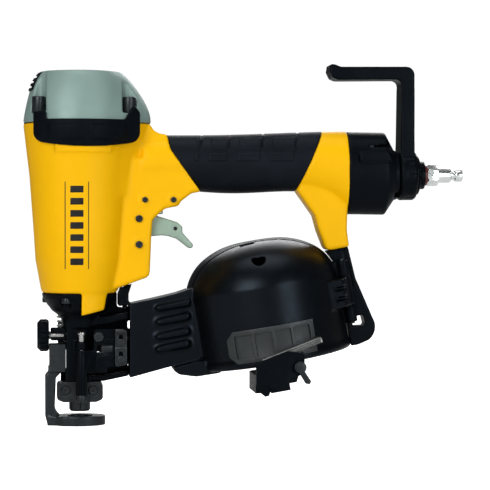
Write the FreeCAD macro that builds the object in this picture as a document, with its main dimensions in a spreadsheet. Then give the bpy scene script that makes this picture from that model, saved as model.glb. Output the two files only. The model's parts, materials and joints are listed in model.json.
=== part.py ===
import FreeCAD, Part

import math
import os

import Sketcher
from FreeCAD import Placement, Rotation, Vector

# Pneumatic coil roofing nailer, in millimetres. The frame: +Z up along the drive axis, +X from the nose
# towards the handle's tail, the origin at the muzzle, where the nail leaves. A coil of nails lies in the
# round canister under the handle; the feed piston pulls the strip up the throat into the nose, and the
# piston's driver blade sends one nail down the bore at each blow.

DOC = FreeCAD.newDocument("CoilNailer")
SHEET = DOC.addObject("Spreadsheet::Sheet", "Dims")

# Driving dimensions: alias, value in mm (or degrees for a name that ends in _deg), what it is.
DRIVING = [
    ("deck_z", 213, "top face of the housing, under the cap gasket"),
    ("foot_z", 88, "bottom face of the barrel, where the nose bolts on"),
    ("barrel_r", 41.5, "barrel radius at the deck"),
    ("shoulder_x", 26, "centre of the barrel's rear shoulder arc"),
    ("shoulder_r", 27, "radius of the barrel's rear shoulder arc"),
    ("chamber_r", 29, "radius of the air chamber round the cylinder"),
    ("bore_r", 19, "cylinder bore"),
    ("sleeve_wall", 2, "wall of the cylinder sleeve"),
    ("piston_z", 176, "underside of the piston at rest"),
    ("blade_r", 3.3, "driver blade"),
    ("cap_top_z", 251.6, "top of the cap"),
    ("gasket", 0.6, "cap gasket thickness"),
    ("web_half", 16, "half thickness of the web behind the barrel"),
    ("handle_z", 184.6, "height of the handle's centreline"),
    ("grip_wall", 3, "thickness of the rubber grip"),
    ("plenum_r", 11.3, "air passage through the handle"),
    ("tail_x", 200, "rear face of the housing"),
    ("inlet_z", 175.4, "height of the air inlet"),
    ("trigger_x", 43.5, "trigger pivot"),
    ("trigger_z", 142.9, "trigger pivot"),
    ("valve_x", 60, "axis of the trigger valve"),
    ("muzzle_r", 5.3, "bore of the nose tip"),
    ("channel_r", 5.6, "drive channel above the nose tip"),
    ("tip_h", 22, "height of the nose tip"),
    ("dial_z", 56.3, "axis of the depth dial"),
    ("dial_r", 12, "radius of the depth dial"),
    ("hinge_x", 1, "axis of the nose door"),
    ("hinge_y", -15, "axis of the nose door"),
    ("split_y", -10, "plane where the canister cover meets its base"),
    ("split_gap", 0.2, "gap on each side of that plane"),
    ("can_x", 146.4, "centre of the canister floor"),
    ("can_y", 8, "centre of the canister floor"),
    ("can_z", 37.5, "centre of the canister floor"),
    ("can_r", 58, "outer radius of the canister"),
    ("can_h", 90.3, "height of the canister"),
    ("can_wall", 2.8, "wall of the canister"),
    ("can_tilt_deg", 9.5, "lean of the canister: its rear is the higher side"),
    ("feed_tilt_deg", 14, "slope of the nail strip"),
    ("hook_r", 19.5, "outer radius of the hook's collar"),
]


class Size:
    """A length that carries its value and the sheet expression it comes from."""

    def __init__(self, value, text):
        self.value = float(value)
        self.text = text

    def _with(self, sign, other, swap=False):
        a, b = (other, self) if swap else (self, other)
        x, y = number(a), number(b)
        value = {"+": x + y, "-": x - y, "*": x * y, "/": x / y if y else 0.0}[sign]
        return Size(value, f"({words(a)} {sign} {words(b)})")

    def __add__(self, other):
        return self._with("+", other)

    def __radd__(self, other):
        return self._with("+", other, True)

    def __sub__(self, other):
        return self._with("-", other)

    def __rsub__(self, other):
        return self._with("-", other, True)

    def __mul__(self, other):
        return self._with("*", other)

    def __rmul__(self, other):
        return self._with("*", other, True)

    def __truediv__(self, other):
        return self._with("/", other)

    def __neg__(self):
        return Size(-self.value, f"(-{self.text})")


def number(x):
    return x.value if isinstance(x, Size) else float(x)


def words(x):
    return x.text if isinstance(x, Size) else repr(float(x))


class Dims:
    """The driving dimensions as Size values, so D.bore_r + 2 stays bound to the sheet."""


D = Dims()
for row, (alias, value, meaning) in enumerate(DRIVING, start=1):
    SHEET.set(f"A{row}", meaning)
    SHEET.set(f"B{row}", str(value))
    SHEET.setAlias(f"B{row}", alias)
    setattr(D, alias, Size(value, f"Dims.{alias}"))
DOC.recompute()

ALONG_X = Rotation(Vector(0, 1, 0), 90)
ALONG_Y = Rotation(Vector(1, 0, 0), -90)
LEAN = Rotation(Vector(0, 1, 0), -number(D.can_tilt_deg))
FEED = Rotation(Vector(0, 1, 0), -number(D.feed_tilt_deg))
CAN_BASE = Vector(number(D.can_x), number(D.can_y), number(D.can_z))
FEED_BASE = Vector(17, 24, 38)  # where the feed piston's axis starts, beside the nose
NODES = []


# ---------------------------------------------------------------- building blocks
def bind(obj, name, size):
    """Sets a property, and ties it to the sheet if the size comes from there."""
    if "." not in name and "[" not in name:
        setattr(obj, name, number(size))
    if isinstance(size, Size):
        obj.setExpression(name, size.text)


def place(obj, at=(0, 0, 0), turn=None):
    obj.Placement = Placement(Vector(*[number(c) for c in at]), turn or Rotation())
    for axis, c in zip("xyz", at):
        if isinstance(c, Size):
            obj.setExpression(f"Placement.Base.{axis}", c.text)
    return obj


def primitive(kind, name, at, turn, **sizes):
    obj = DOC.addObject(kind, name)
    for key, size in sizes.items():
        bind(obj, key, size)
    return place(obj, at, turn)


def box(name, x, y, z, turn=None, base=None):
    """A block given by its (low, high) along each axis; base and turn put it in a leaning frame."""
    at = (x[0], y[0], z[0])
    if base is not None:
        at = tuple(base + turn.multVec(Vector(*[number(c) for c in at])))
    return primitive(
        "Part::Box", name, at, turn, Length=x[1] - x[0], Width=y[1] - y[0], Height=z[1] - z[0]
    )


def cylinder(name, r, h, at, turn=None, base=None, frame=None):
    """A cylinder from its lower end; base and frame put it in a leaning frame."""
    if base is not None:
        at = tuple(base + frame.multVec(Vector(*[number(c) for c in at])))
        turn = frame.multiply(turn or Rotation())
    return primitive("Part::Cylinder", name, at, turn, Radius=r, Height=h)


def torus(name, ring, section, at, turn=None):
    return primitive("Part::Torus", name, at, turn, Radius1=ring, Radius2=section)


def cut(name, base, *tools):
    obj = DOC.addObject("Part::Cut", name)
    obj.Base = base
    obj.Tool = tools[0] if len(tools) == 1 else fuse(name + "_tools", *tools)
    return obj


def fuse(name, *shapes):
    if len(shapes) == 1:
        return shapes[0]
    obj = DOC.addObject("Part::MultiFuse", name)
    obj.Shapes = list(shapes)
    return obj


def common(name, a, b):
    obj = DOC.addObject("Part::Common", name)
    obj.Base = a
    obj.Tool = b
    return obj


def group(name, *shapes):
    """Separate solids that share one node, such as a set of screws."""
    obj = DOC.addObject("Part::Compound", name)
    obj.Links = list(shapes)
    return obj


def node(obj, label):
    """Names a finished sub-part; its label names its file."""
    obj.Label = label
    NODES.append(obj)
    return obj


def bound_point(sketch, index, end, point):
    """Ties one end of a sketch line or arc to its coordinates."""
    for kind, c in zip(("DistanceX", "DistanceY"), point):
        k = sketch.addConstraint(Sketcher.Constraint(kind, -1, 1, index, end, number(c)))
        if isinstance(c, Size):
            sketch.setExpression(f"Constraints[{k}]", c.text)


def outline(sketch, points):
    """A closed outline. Each item is a corner (x, y), or ((x, y) on the way, (x, y) at the end) of an arc."""
    ends = [p[1] if isinstance(p[0], tuple) else p for p in points]
    count = len(points)
    for i, item in enumerate(points):
        start = Vector(*[number(c) for c in ends[i - 1]], 0)
        stop = Vector(*[number(c) for c in ends[i]], 0)
        if isinstance(item[0], tuple):
            via = Vector(*[number(c) for c in item[0]], 0)
            sketch.addGeometry(Part.Arc(start, via, stop), False)
        else:
            sketch.addGeometry(Part.LineSegment(start, stop), False)
    starts = []
    for i in range(count):
        first = sketch.getPoint(i, 1)
        want = Vector(*[number(c) for c in ends[i - 1]], 0)
        starts.append((1, 2) if (first - want).Length < 1e-6 else (2, 1))
    for i in range(count):
        j = (i + 1) % count
        sketch.addConstraint(Sketcher.Constraint("Coincident", i, starts[i][1], j, starts[j][0]))
        bound_point(sketch, i, starts[i][1], ends[i])
        if isinstance(points[i][0], tuple):
            sketch.addConstraint(Sketcher.Constraint("Radius", i, sketch.Geometry[i].Radius))


def body_sketch(name, plane, points, offset=0):
    """A PartDesign body with one sketch on its own origin plane, moved along the plane's normal by offset."""
    body = DOC.addObject("PartDesign::Body", name)
    sketch = body.newObject("Sketcher::SketchObject", name + "_sketch")
    side = [f for f in body.Origin.OriginFeatures if f.Role == plane + "_Plane"][0]
    sketch.AttachmentSupport = [(side, "")]
    sketch.MapMode = "FlatFace"
    sketch.AttachmentOffset = Placement(Vector(0, 0, number(offset)), Rotation())
    if isinstance(offset, Size):
        sketch.setExpression("AttachmentOffset.Base.z", offset.text)
    outline(sketch, points)
    return body, sketch


def edge_names(shape, test):
    return [f"Edge{i}" for i, e in enumerate(shape.Edges, start=1) if test(e)]


def round_edges(body, radius, test):
    """Adds a fillet to the body's edges that pass the test."""
    DOC.recompute()
    last = body.Tip
    names = edge_names(last.Shape, test)
    if not names:
        raise ValueError(f"{body.Label}: no edge to round")
    fillet = body.newObject("PartDesign::Fillet", body.Name + "_round")
    fillet.Base = (last, names)
    bind(fillet, "Radius", radius)
    return body


def prism(name, plane, points, low, high, corners=(), rim=None, at=(0, 0, 0), turn=None):
    """A plate: the outline padded from low to high along the plane's axis. corners is (radius, [points])
    pairs for its upright edges; rim rounds both of its faces."""
    down = plane == "XZ"  # that plane's normal points along -Y
    body, sketch = body_sketch(name, plane, points, -high if down else low)
    pad = body.newObject("PartDesign::Pad", name + "_pad")
    pad.Profile = sketch
    bind(pad, "Length", high - low)
    axis = {"XZ": 1, "XY": 2, "YZ": 0}[plane]
    for radius, where in corners:
        spots = [tuple(number(c) for c in p) for p in where]

        def upright(e, spots=spots):
            a, b = e.Vertexes[0].Point, e.Vertexes[-1].Point
            flat = [c for i, c in enumerate(a) if i != axis]
            level = [c for i, c in enumerate(b) if i != axis]
            same = math.dist(flat, level) < 1e-6 and (a - b).Length > 1e-6
            return same and any(math.dist(flat, s) < 1e-3 for s in spots)

        round_edges(body, radius, upright)
    if rim:
        ends = (number(low), number(high))

        def on_rim(e):
            a, b = e.Vertexes[0].Point[axis], e.Vertexes[-1].Point[axis]
            return abs(a - b) < 1e-6 and any(abs(a - z) < 1e-6 for z in ends)

        round_edges(body, rim, on_rim)
    return place(body, at, turn)


def turned(name, points, at=(0, 0, 0), turn=None):
    """A turned piece: an (r, z) outline spun about the sketch's upright axis."""
    body, sketch = body_sketch(name, "XZ", points)
    spin = body.newObject("PartDesign::Revolution", name + "_spin")
    spin.Profile = sketch
    spin.ReferenceAxis = (sketch, ["V_Axis"])
    spin.Angle = 360
    return place(body, at, turn)


def egg(name, z, front_r, rear_x, rear_r):
    """The barrel's plan outline: a front arc and a smaller rear arc joined by their tangents."""
    lean = math.acos((number(front_r) - number(rear_r)) / number(rear_x))
    c, s = math.cos(lean), math.sin(lean)
    front, rear, far = number(front_r), number(rear_r), number(rear_x)
    sketch = DOC.addObject("Sketcher::SketchObject", name)
    up = Vector(0, 0, 1)
    big = Part.Circle(Vector(0, 0, 0), up, front)
    small = Part.Circle(Vector(far, 0, 0), up, rear)
    sketch.addGeometry(Part.ArcOfCircle(big, lean, 2 * math.pi - lean), False)
    sketch.addGeometry(Part.ArcOfCircle(small, -lean, lean), False)
    for side in (1, -1):
        a = Vector(front * c, side * front * s, 0)
        b = Vector(far + rear * c, side * rear * s, 0)
        sketch.addGeometry(Part.LineSegment(a, b), False)
    for a, i, b, j in ((0, 1, 2, 1), (2, 2, 1, 2), (0, 2, 3, 1), (3, 2, 1, 1)):
        sketch.addConstraint(Sketcher.Constraint("Tangent", a, i, b, j))
    sketch.addConstraint(Sketcher.Constraint("Coincident", 0, 3, -1, 1))
    sketch.addConstraint(Sketcher.Constraint("DistanceY", -1, 1, 1, 3, 0))
    for kind, where, size in (
        ("Radius", (0,), front_r),
        ("Radius", (1,), rear_r),
        ("DistanceX", (-1, 1, 1, 3), rear_x),
    ):
        k = sketch.addConstraint(Sketcher.Constraint(kind, *where, number(size)))
        if isinstance(size, Size):
            sketch.setExpression(f"Constraints[{k}]", size.text)
    return place(sketch, (0, 0, z))


def ellipse(name, x, z, half_height, half_width):
    """An upright oval across the handle, at x along it."""
    upright = Rotation(Vector(0, 0, 1), Vector(0, 1, 0), Vector(-1, 0, 0), "XYZ")
    return primitive(
        "Part::Ellipse", name, (x, 0, z), upright, MajorRadius=half_height, MinorRadius=half_width
    )


def loft(name, *sections, ruled=False):
    obj = DOC.addObject("Part::Loft", name)
    obj.Sections = list(sections)
    obj.Solid = True
    obj.Ruled = ruled
    return obj


def spring(name, coil_r, wire_r, length, turns, at, turn=None):
    """A compression spring: a round wire swept along a helix."""
    helix = DOC.addObject("Part::Helix", name + "_helix")
    bind(helix, "Radius", coil_r)
    bind(helix, "Height", length)
    bind(helix, "Pitch", number(length) / turns)
    wire = DOC.addObject("Part::Circle", name + "_wire")
    bind(wire, "Radius", wire_r)
    place(wire, (coil_r, 0, 0), Rotation(Vector(1, 0, 0), 90))
    sweep = DOC.addObject("Part::Sweep", name)
    sweep.Sections = [wire]
    sweep.Spine = (helix, ["Edge1"])
    sweep.Solid = True
    sweep.Frenet = True
    return place(sweep, at, turn)


def socket_screw(name, shank_r, shank, head_r, head, at, turn=None):
    """A cap screw standing on its shank's end, head up, with a hexagon socket; turn lays it over."""
    across = head_r * 0.55
    hexagon = [
        (across * math.cos(math.radians(60 * i)), across * math.sin(math.radians(60 * i)))
        for i in range(6)
    ]
    top = shank + head
    shape = turned(
        name + "_turned",
        [(0, 0), (shank_r - 0.4, 0), (shank_r, 0.4), (shank_r, shank), (head_r, shank),
         (head_r, top - 0.5), (head_r - 0.5, top), (0, top)],
    )
    socket = prism(name + "_socket", "XY", hexagon, top - head * 0.6, top + 1)
    return place(cut(name, shape, socket), at, turn)


# ---------------------------------------------------------------- housing
CAP_SCREWS = ((-30, 20.5), (-30, -20.5), (36.2, 18.2), (36.2, -18.2))
NOSE_SCREWS = [(24 * math.cos(math.radians(a)), 24 * math.sin(math.radians(a))) for a in (0, 115, 180, 245)]
CORE_Z = D.handle_z - 0.2
EAR_X = 69  # the pin in the web's lower ear

barrel = turned(
    "barrel",
    [(0, D.foot_z), (27.4, D.foot_z), (28.6, D.foot_z + 2), (32.6, 112), (34.3, 138), (37, 175),
     (D.barrel_r, D.deck_z), (0, D.deck_z)],
)
shoulder = loft(
    "shoulder",
    egg("shoulder_deck", D.deck_z, D.barrel_r, D.shoulder_x, D.shoulder_r),
    egg("shoulder_mid", 190, D.barrel_r - 3, 30, 18),
    egg("shoulder_low", 160, D.barrel_r - 6, 30, 16),
)
web = prism(
    "web", "XZ",
    [(6, 92), (22, 89.4), (51.5, 100), (52.8, 130), (53.6, 141.7), (58.7, 146.8), (63, 150.3),
     (73.5, 152.3), (74.3, 155.3), (82.5, 161.6), (89, 162.8), (92, 172), (92, 188), (20, 188)],
    -D.web_half, D.web_half,
    corners=[(5, [(51.5, 100)]), (3, [(73.5, 152.3)])], rim=2.5,
)
tongue = common(
    "tongue",
    prism("tongue_side", "XZ", [(1, 71.8), (17.6, 75.8), (20.4, 92), (1, 92)], -30, -14),
    cylinder("tongue_round", 27.3, 24, (0, 0, 70)),
)
saddle = prism(
    "saddle", "XZ", [(40, 212.5), (52.4, 212.5), (54.5, 208.8), (58.5, 206.2), (66, 205.2), (66, 185),
                     (40, 185)],
    -11, 11, rim=2,
)
skin = loft(
    "handle_skin",
    ellipse("skin_root", 46, D.handle_z - 0.6, 21.2, 17.2),
    ellipse("skin_front", 90, D.handle_z - 0.6, 21.2, 17.3),
    ellipse("skin_middle", 140, D.handle_z, 22, 17.8),
    ellipse("skin_rear", 176, D.handle_z, 23.4, 19),
    ellipse("skin_tail", D.tail_x, 177.3, 31, 22),
)
core = loft(
    "handle_core",
    ellipse("core_root", 50, CORE_Z, 21.2 - D.grip_wall, 17.2 - D.grip_wall),
    ellipse("core_middle", 140, CORE_Z, 22 - D.grip_wall, 17.8 - D.grip_wall),
    ellipse("core_tail", D.tail_x - 6, CORE_Z, 23 - D.grip_wall, 18.6 - D.grip_wall),
)
front_of_grip = prism(
    "front_of_grip", "XZ",
    [(40, 150), (96, 150), (89, 163), (75, 182.2), (66.8, 194.2), (64.5, 205), (62, 216), (40, 216)], -30, 30,
)
behind_grip = prism(
    "behind_grip", "XZ",
    [(184, 213.5), (181.5, 208), (161, 162.6), (156, 151.5), (156, 130), (201, 130), (201, 213.5)], -30, 30,
)
handle_root = common("handle_root", skin, front_of_grip)
tail_flare = common("tail_flare", skin, behind_grip)
leg = prism(
    "leg", "XZ",
    [(161.5, 164), (175, 145), (178, 134), (184, 118.5), (201.3, 122), (199.6, 134), (D.tail_x, 147),
     (D.tail_x, 172), (170, 178)],
    -12, 12, corners=[(4, [(184, 118.5)])], rim=2.5,
)
bosses = fuse(
    "pin_bosses",
    *[cylinder(f"pin_boss_{x:g}", r, 2 * D.web_half + 1.6, (x, -D.web_half - 0.8, z), ALONG_Y)
      for x, z, r in ((43.5, 123.8, 3.8), (47.9, 156.8, 3), (EAR_X, 156.8, 3.4))],
)
side_tabs = common(
    "side_tabs",
    loft(
        "side_tab_skin",
        egg("side_tab_low", 185, 39.2, 30, 19.2),
        egg("side_tab_high", D.deck_z, D.barrel_r + 0.9, D.shoulder_x, D.shoulder_r + 0.9),
    ),
    fuse(
        "side_tab_blocks",
        *[box(f"side_tab_{i}", (-18, 23), (side * 40 - 15, side * 40 + 15), (190.8, 202)) for i,
          side in enumerate((-1, 1))],
    ),
)
grip_span = prism(
    "grip_span", "XZ",
    [(64.6, 205.4), (66.9, 194.3), (75.1, 182.4), (89.1, 163.1), (96, 150), (156, 150), (160.9, 162.6),
     (181.4, 208), (184, 214), (62.4, 214)],
    -30, 30, corners=[(3, [(89.1, 163.1)])],
)
castings = fuse(
    "housing_solid", barrel, shoulder, cut("web_trimmed", web, grip_span), tongue,
    cut("saddle_trimmed", saddle, grip_span), handle_root, core, tail_flare,
    cut("leg_trimmed", leg, grip_span),
    bosses, side_tabs,
)
trigger_slot = prism(
    "trigger_slot", "XZ",
    [(36, 127), (36, 146), (40, 150.4), (64, 150.4), (66, 149.4), (98, 149.4), (98, 118), (53, 118),
     (46, 127)],
    -8, 8, corners=[(2, [(36, 127), (36, 146)])],
)
hollows = [
    cylinder("chamber", D.chamber_r, D.deck_z - 104 + 1, (0, 0, 104)),
    cylinder("sleeve_socket", D.bore_r + D.sleeve_wall + 0.1, 15, (0, 0, D.foot_z + 2)),
    cylinder("driver_hole", 8, 40, (0, 0, D.foot_z - 20)),
    cylinder("plenum", D.plenum_r, D.tail_x - 20 + 1, (20, 0, D.handle_z - 0.6), ALONG_X),
    cylinder("valve_bore", 7, 25.6, (D.valve_x, 0, 150.4)),
    trigger_slot,
    box("trip_groove", (32.2, 60), (-3.6, 3.6), (86, 136)),
    cylinder("pivot_hole", 2.02, 60, (D.trigger_x, -30, D.trigger_z), ALONG_Y),
    cylinder("lower_pin_hole", 2.02, 60, (43.5, -30, 123.8), ALONG_Y),
    cylinder("upper_pin_hole", 1.5, 60, (47.9, -30, 156.8), ALONG_Y),
    cylinder("ear_hole", 1.5, 60, (EAR_X, -30, 156.8), ALONG_Y),
    box("valve_well", (52, 68), (-7, 7), (146, 151)),
    prism("leg_slot", "XZ", [(188, 112), (198, 112), (196.5, 131), (186.5, 131)], -4.02, 4.02),
]
for i, (x, y) in enumerate(CAP_SCREWS):
    hollows.append(cylinder(f"cap_thread_{i}", 2.5, 11, (x, y, D.deck_z - 10)))
for i, (x, y) in enumerate(NOSE_SCREWS):
    hollows.append(cylinder(f"nose_thread_{i}", 2, 14, (x, y, D.foot_z - 1)))
for i, (y, z) in enumerate(((13, 195), (-13, 195), (9, 163), (-9, 163))):
    hollows.append(cylinder(f"tail_thread_{i}", 2, 13, (D.tail_x - 12, y, z), ALONG_X))
hollows.append(cylinder("leg_screw_hole", 1.6, 22, (191.5, -8, 125.6), ALONG_Y))
node(cut("housing_cut", castings, *hollows), "housing")

# ---------------------------------------------------------------- grip
grip_blank = cut("grip_blank", common("grip_outer", skin, grip_span), core)
seat = loft(
    "groove_seat",
    ellipse("seat_root", 46, D.handle_z - 0.6, 20.2, 16.2),
    ellipse("seat_front", 90, D.handle_z - 0.6, 20.2, 16.3),
    ellipse("seat_middle", 140, D.handle_z, 21, 16.8),
    ellipse("seat_rear", 176, D.handle_z, 22.4, 18),
    ellipse("seat_tail", D.tail_x, 177.3, 30, 21),
)
splits = [
    prism(f"split_{i}", "XZ", [(x, 214), (x + 1.6, 214), (x - 3.4, 192), (x - 5, 192)], -30, 30)
    for i, x in enumerate((92.5, 113.5, 138.2, 163.8))
]
grip = grip_blank
for i, line in enumerate(splits):
    grip = cut(f"grip_{i}", grip, cut(f"grip_groove_{i}", line, seat))
    grip.Refine = False
node(grip, "grip")


# ---------------------------------------------------------------- cap, gasket and guards
node(
    cut(
        "gasket_ring",
        common(
            "gasket_sheet",
            loft("gasket_egg", egg("gasket_low", D.deck_z, 41, 26, 26.5),
                 egg("gasket_top", D.deck_z + D.gasket, 41, 26, 26.5)),
            box("gasket_slab", (-60, 70), (-60, 60), (D.deck_z, D.deck_z + D.gasket)),
        ),
        cylinder("gasket_hole", D.chamber_r, 5, (0, 0, D.deck_z - 2)),
        *[cylinder(f"gasket_screw_hole_{i}", 2.6, 5, (x, y, D.deck_z - 2)) for i,
          (x, y) in enumerate(CAP_SCREWS)],
    ),
    "cap_gasket",
)

cap_blank = loft(
    "cap_blank",
    egg("cap_foot", D.deck_z + D.gasket, D.barrel_r, D.shoulder_x, D.shoulder_r),
    egg("cap_low", 222, 40.2, 25.6, 26.2),
    egg("cap_waist", 235, 37.2, 22.6, 22.6),
    egg("cap_high", 245, 33.6, 17, 20.6),
    egg("cap_crown", D.cap_top_z, 29, 11, 19.5),
)
SCREW_SEAT = 220.2  # floor of the recesses that hold the cap screws
cap_hollows = [cylinder("cap_chamber", D.chamber_r + 0.2, 27, (0, 0, D.deck_z - 0.6))]
for i, (x, y) in enumerate(CAP_SCREWS):
    side = 1 if y > 0 else -1
    cap_hollows.append(cylinder(f"cap_screw_way_{i}", 2.6, 20, (x, y, D.deck_z)))
    cap_hollows.append(cylinder(f"cap_screw_pocket_{i}", 5.4, 40, (x, y, SCREW_SEAT)))
    low, high = x - 5.3, x + 5.3
    inner, outer = sorted((side * (abs(y) - 3.4), side * 60))
    cap_hollows.append(
        prism(
            f"cap_channel_{i}", "XY", [(low, inner), (high, inner), (high, outer), (low, outer)],
            SCREW_SEAT, 262,
        )
    )
for i in range(3):
    cap_hollows.append(box(f"exhaust_slot_{i}", (-40, -25), (-11, 11), (239.2 + 3.7 * i, 241.2 + 3.7 * i)))
node(cut("cap_cut", cap_blank, *cap_hollows), "cap")
node(
    group(
        "cap_screw_set",
        *[socket_screw(f"cap_screw_{i}", 2.5, SCREW_SEAT - 203.9, 4.9, 12, (x, y, 204)) for i,
          (x, y) in enumerate(CAP_SCREWS)],
    ),
    "cap_screws",
)
deflector_skin = loft(
    "deflector_skin",
    egg("deflector_low", 235, 38.2, 22.6, 23.6),
    egg("deflector_mid", 245, 34.6, 17, 21.6),
    egg("deflector_high", D.cap_top_z - 1, 30.4, 11.6, 20.4),
)
deflector = cut(
    "deflector_cut",
    common("deflector_patch", deflector_skin, box("deflector_front", (-45, -24), (-13, 13), (237.4, 250.6))),
    cap_blank,
    *[box(f"deflector_slot_{i}", (-45, -20), (-11, 11),
          (239.2 + 3.7 * i, 241.2 + 3.7 * i)) for i in range(3)],
)


def guard_outline():
    """The guard's side view: a bowed band with two posts."""
    return [
        (-34, 221), (-34, 206), ((-32, 200.9), (-27.4, 198.4)), ((5, 195.4), (37.4, 198.4)),
        ((42, 200.9), (44, 206)), (44, 221), (40.4, 225.4), (39.6, 225.4), (34.6, 219.4), (32.6, 215.4),
        (-24.6, 215.4), (-24.6, 221),
    ]


guards = []
for side, name in ((-1, "left"), (1, "right")):
    outer = loft(
        f"{name}_guard_skin",
        egg(f"{name}_guard_low", 190, 41.2, 28, 23.6),
        egg(f"{name}_guard_mid", D.deck_z, D.barrel_r + 2.8, D.shoulder_x, D.shoulder_r + 2.8),
        egg(f"{name}_guard_top", 235, 40, 22.6, 25.6),
    )
    low, high = sorted((side * 12, side * 60))
    slab = prism(f"{name}_guard_side", "XZ", guard_outline(), low, high)
    inside = loft(
        f"{name}_guard_inside",
        egg(f"{name}_inside_low", 185, 38.9, 30, 18.9),
        egg(f"{name}_inside_mid", D.deck_z + 0.65, D.barrel_r + 0.12, D.shoulder_x, D.shoulder_r + 0.12),
    )
    above = loft(
        f"{name}_guard_above",
        egg(f"{name}_above_foot", D.deck_z + D.gasket, D.barrel_r + 0.06, D.shoulder_x, D.shoulder_r + 0.06),
        egg(f"{name}_above_low", 222, 40.26, 25.6, 26.26),
        egg(f"{name}_above_waist", 235, 37.26, 22.6, 22.66),
        egg(f"{name}_above_high", 245, 33.66, 17, 20.66),
    )
    panels = loft(
        f"{name}_guard_panel",
        egg(f"{name}_panel_low", 190, 42, 28, 24.4),
        egg(f"{name}_panel_mid", D.deck_z, D.barrel_r + 3.6, D.shoulder_x, D.shoulder_r + 3.6),
        egg(f"{name}_panel_top", 235, 40.8, 22.6, 26.4),
    )
    pads = common(
        f"{name}_guard_pads",
        panels,
        fuse(
            f"{name}_guard_frames",
            box(f"{name}_pad_front", (-23, 2), (low, high), (200.8, 211)),
            box(f"{name}_pad_rear", (8, 33), (low, high), (200.8, 211)),
        ),
    )
    screw_ways = [
        cylinder(f"{name}_guard_screw_way_{i}", 5.4, 40, (x, y, SCREW_SEAT - 0.2))
        for i, (x, y) in enumerate(CAP_SCREWS) if y * side > 0
    ]
    guard = cut(
        f"{name}_guard_cut", fuse(f"{name}_guard_padded", common(f"{name}_guard_blank", outer, slab), pads),
        inside, above, side_tabs, *screw_ways,
    )
    guards.append(guard)
node(group("guard_pair", *guards), "cap_guards")
node(deflector, "exhaust_deflector")

# ---------------------------------------------------------------- cylinder, piston and head valve
SLEEVE_R = D.bore_r + D.sleeve_wall
sleeve = turned(
    "sleeve_turned",
    [(D.bore_r, 91), (SLEEVE_R, 91), (SLEEVE_R, 128), (26.6, 129), (26.6, 135), (SLEEVE_R, 136),
     (SLEEVE_R, 196), (SLEEVE_R + 1.4, 197), (SLEEVE_R + 1.4, 203), (D.bore_r, 203)],
)
ports = [
    cylinder(f"return_port_{i}", 1.4, 60, (0, 0, 106), Rotation(Vector(0, 0, 1), 30 * i).multiply(ALONG_X))
    for i in range(6)
]
check_ports = [
    cylinder(f"refill_port_{i}", 1.2, 60, (0, 0, 141),
             Rotation(Vector(0, 0, 1), 30 * i + 15).multiply(ALONG_X))
    for i in range(6)
]
node(cut("sleeve_cut", sleeve, *ports, *check_ports), "cylinder_sleeve")
node(
    group(
        "seal_set",
        torus("sleeve_seal_mid", 27.7, 1.25, (0, 0, 132)),
        turned("refill_band", [(SLEEVE_R, 138.5), (SLEEVE_R + 1.2, 138.5), (SLEEVE_R + 1.2, 143.5),
                               (SLEEVE_R, 143.5)]),
    ),
    "cylinder_seals",
)
node(
    turned(
        "bumper_turned",
        [(6.5, 90.2), (18.8, 90.2), (18.8, 97), (17.6, 99), (17.6, 107), (15.5, 111.6), (8.5, 111.6),
         (6.5, 109.6)],
    ),
    "bumper",
)
node(
    turned(
        "piston_turned",
        [(0, D.piston_z), (9, D.piston_z), (10, D.piston_z + 2), (D.bore_r - 0.08, D.piston_z + 3),
         (D.bore_r - 0.08, D.piston_z + 5), (17.2, D.piston_z + 5), (17.2, D.piston_z + 8.2),
         (D.bore_r - 0.08, D.piston_z + 8.2), (D.bore_r - 0.08, D.piston_z + 12), (12, D.piston_z + 12),
         (10, D.piston_z + 9), (0, D.piston_z + 9)],
    ),
    "piston",
)
node(
    turned(
        "piston_ring_turned",
        [(17.25, D.piston_z + 5.1), (D.bore_r - 0.05, D.piston_z + 5.4), (D.bore_r - 0.05, D.piston_z + 7.8),
         (17.25, D.piston_z + 8.1)],
    ),
    "piston_ring",
)
node(
    turned(
        "driver_turned",
        [(0, 62), (D.blade_r - 0.3, 62), (D.blade_r, 62.4), (D.blade_r, 166), (5.5, 171), (5.5, D.piston_z),
         (0, D.piston_z)],
    ),
    "driver",
)
node(
    turned(
        "head_valve_turned",
        [(9, 208.4), (17, 206.4), (17.6, 203.3), (25.4, 203.3), (25.4, 206.4), (D.chamber_r - 0.1, 206.4),
         (D.chamber_r - 0.1, 213), (26.6, 213), (26.6, 215.6),
         (D.chamber_r - 0.1, 215.6), (D.chamber_r - 0.1, 222), (20, 222), (20, 214), (9, 214)],
    ),
    "head_valve",
)
node(spring("head_spring_sweep", 24, 1, 15, 4, (0, 0, 223.2)), "head_valve_spring")

# ---------------------------------------------------------------- trigger group
valve_body = turned(
    "valve_body_turned",
    [(2.1, 151.2), (6.95, 151.2), (6.95, 160), (6, 160), (6, 162.4), (6.95, 162.4), (6.95, 170), (5, 174),
     (3, 174), (3, 168), (4.4, 168), (4.4, 156), (2.1, 156)],
    (D.valve_x, 0, 0),
)
node(valve_body, "trigger_valve_body")
node(
    turned(
        "valve_stem_turned",
        [(0, 146.2), (1.6, 146.2), (2.05, 146.8), (2.05, 158), (4.1, 158.4), (4.1, 160.6), (1.6, 161),
         (1.6, 165.6), (0, 165.6)],
        (D.valve_x, 0, 0),
    ),
    "valve_stem",
)
node(spring("valve_spring_sweep", 3, 0.45, 5.6, 4, (D.valve_x, 0, 161.5)), "valve_spring")

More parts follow.
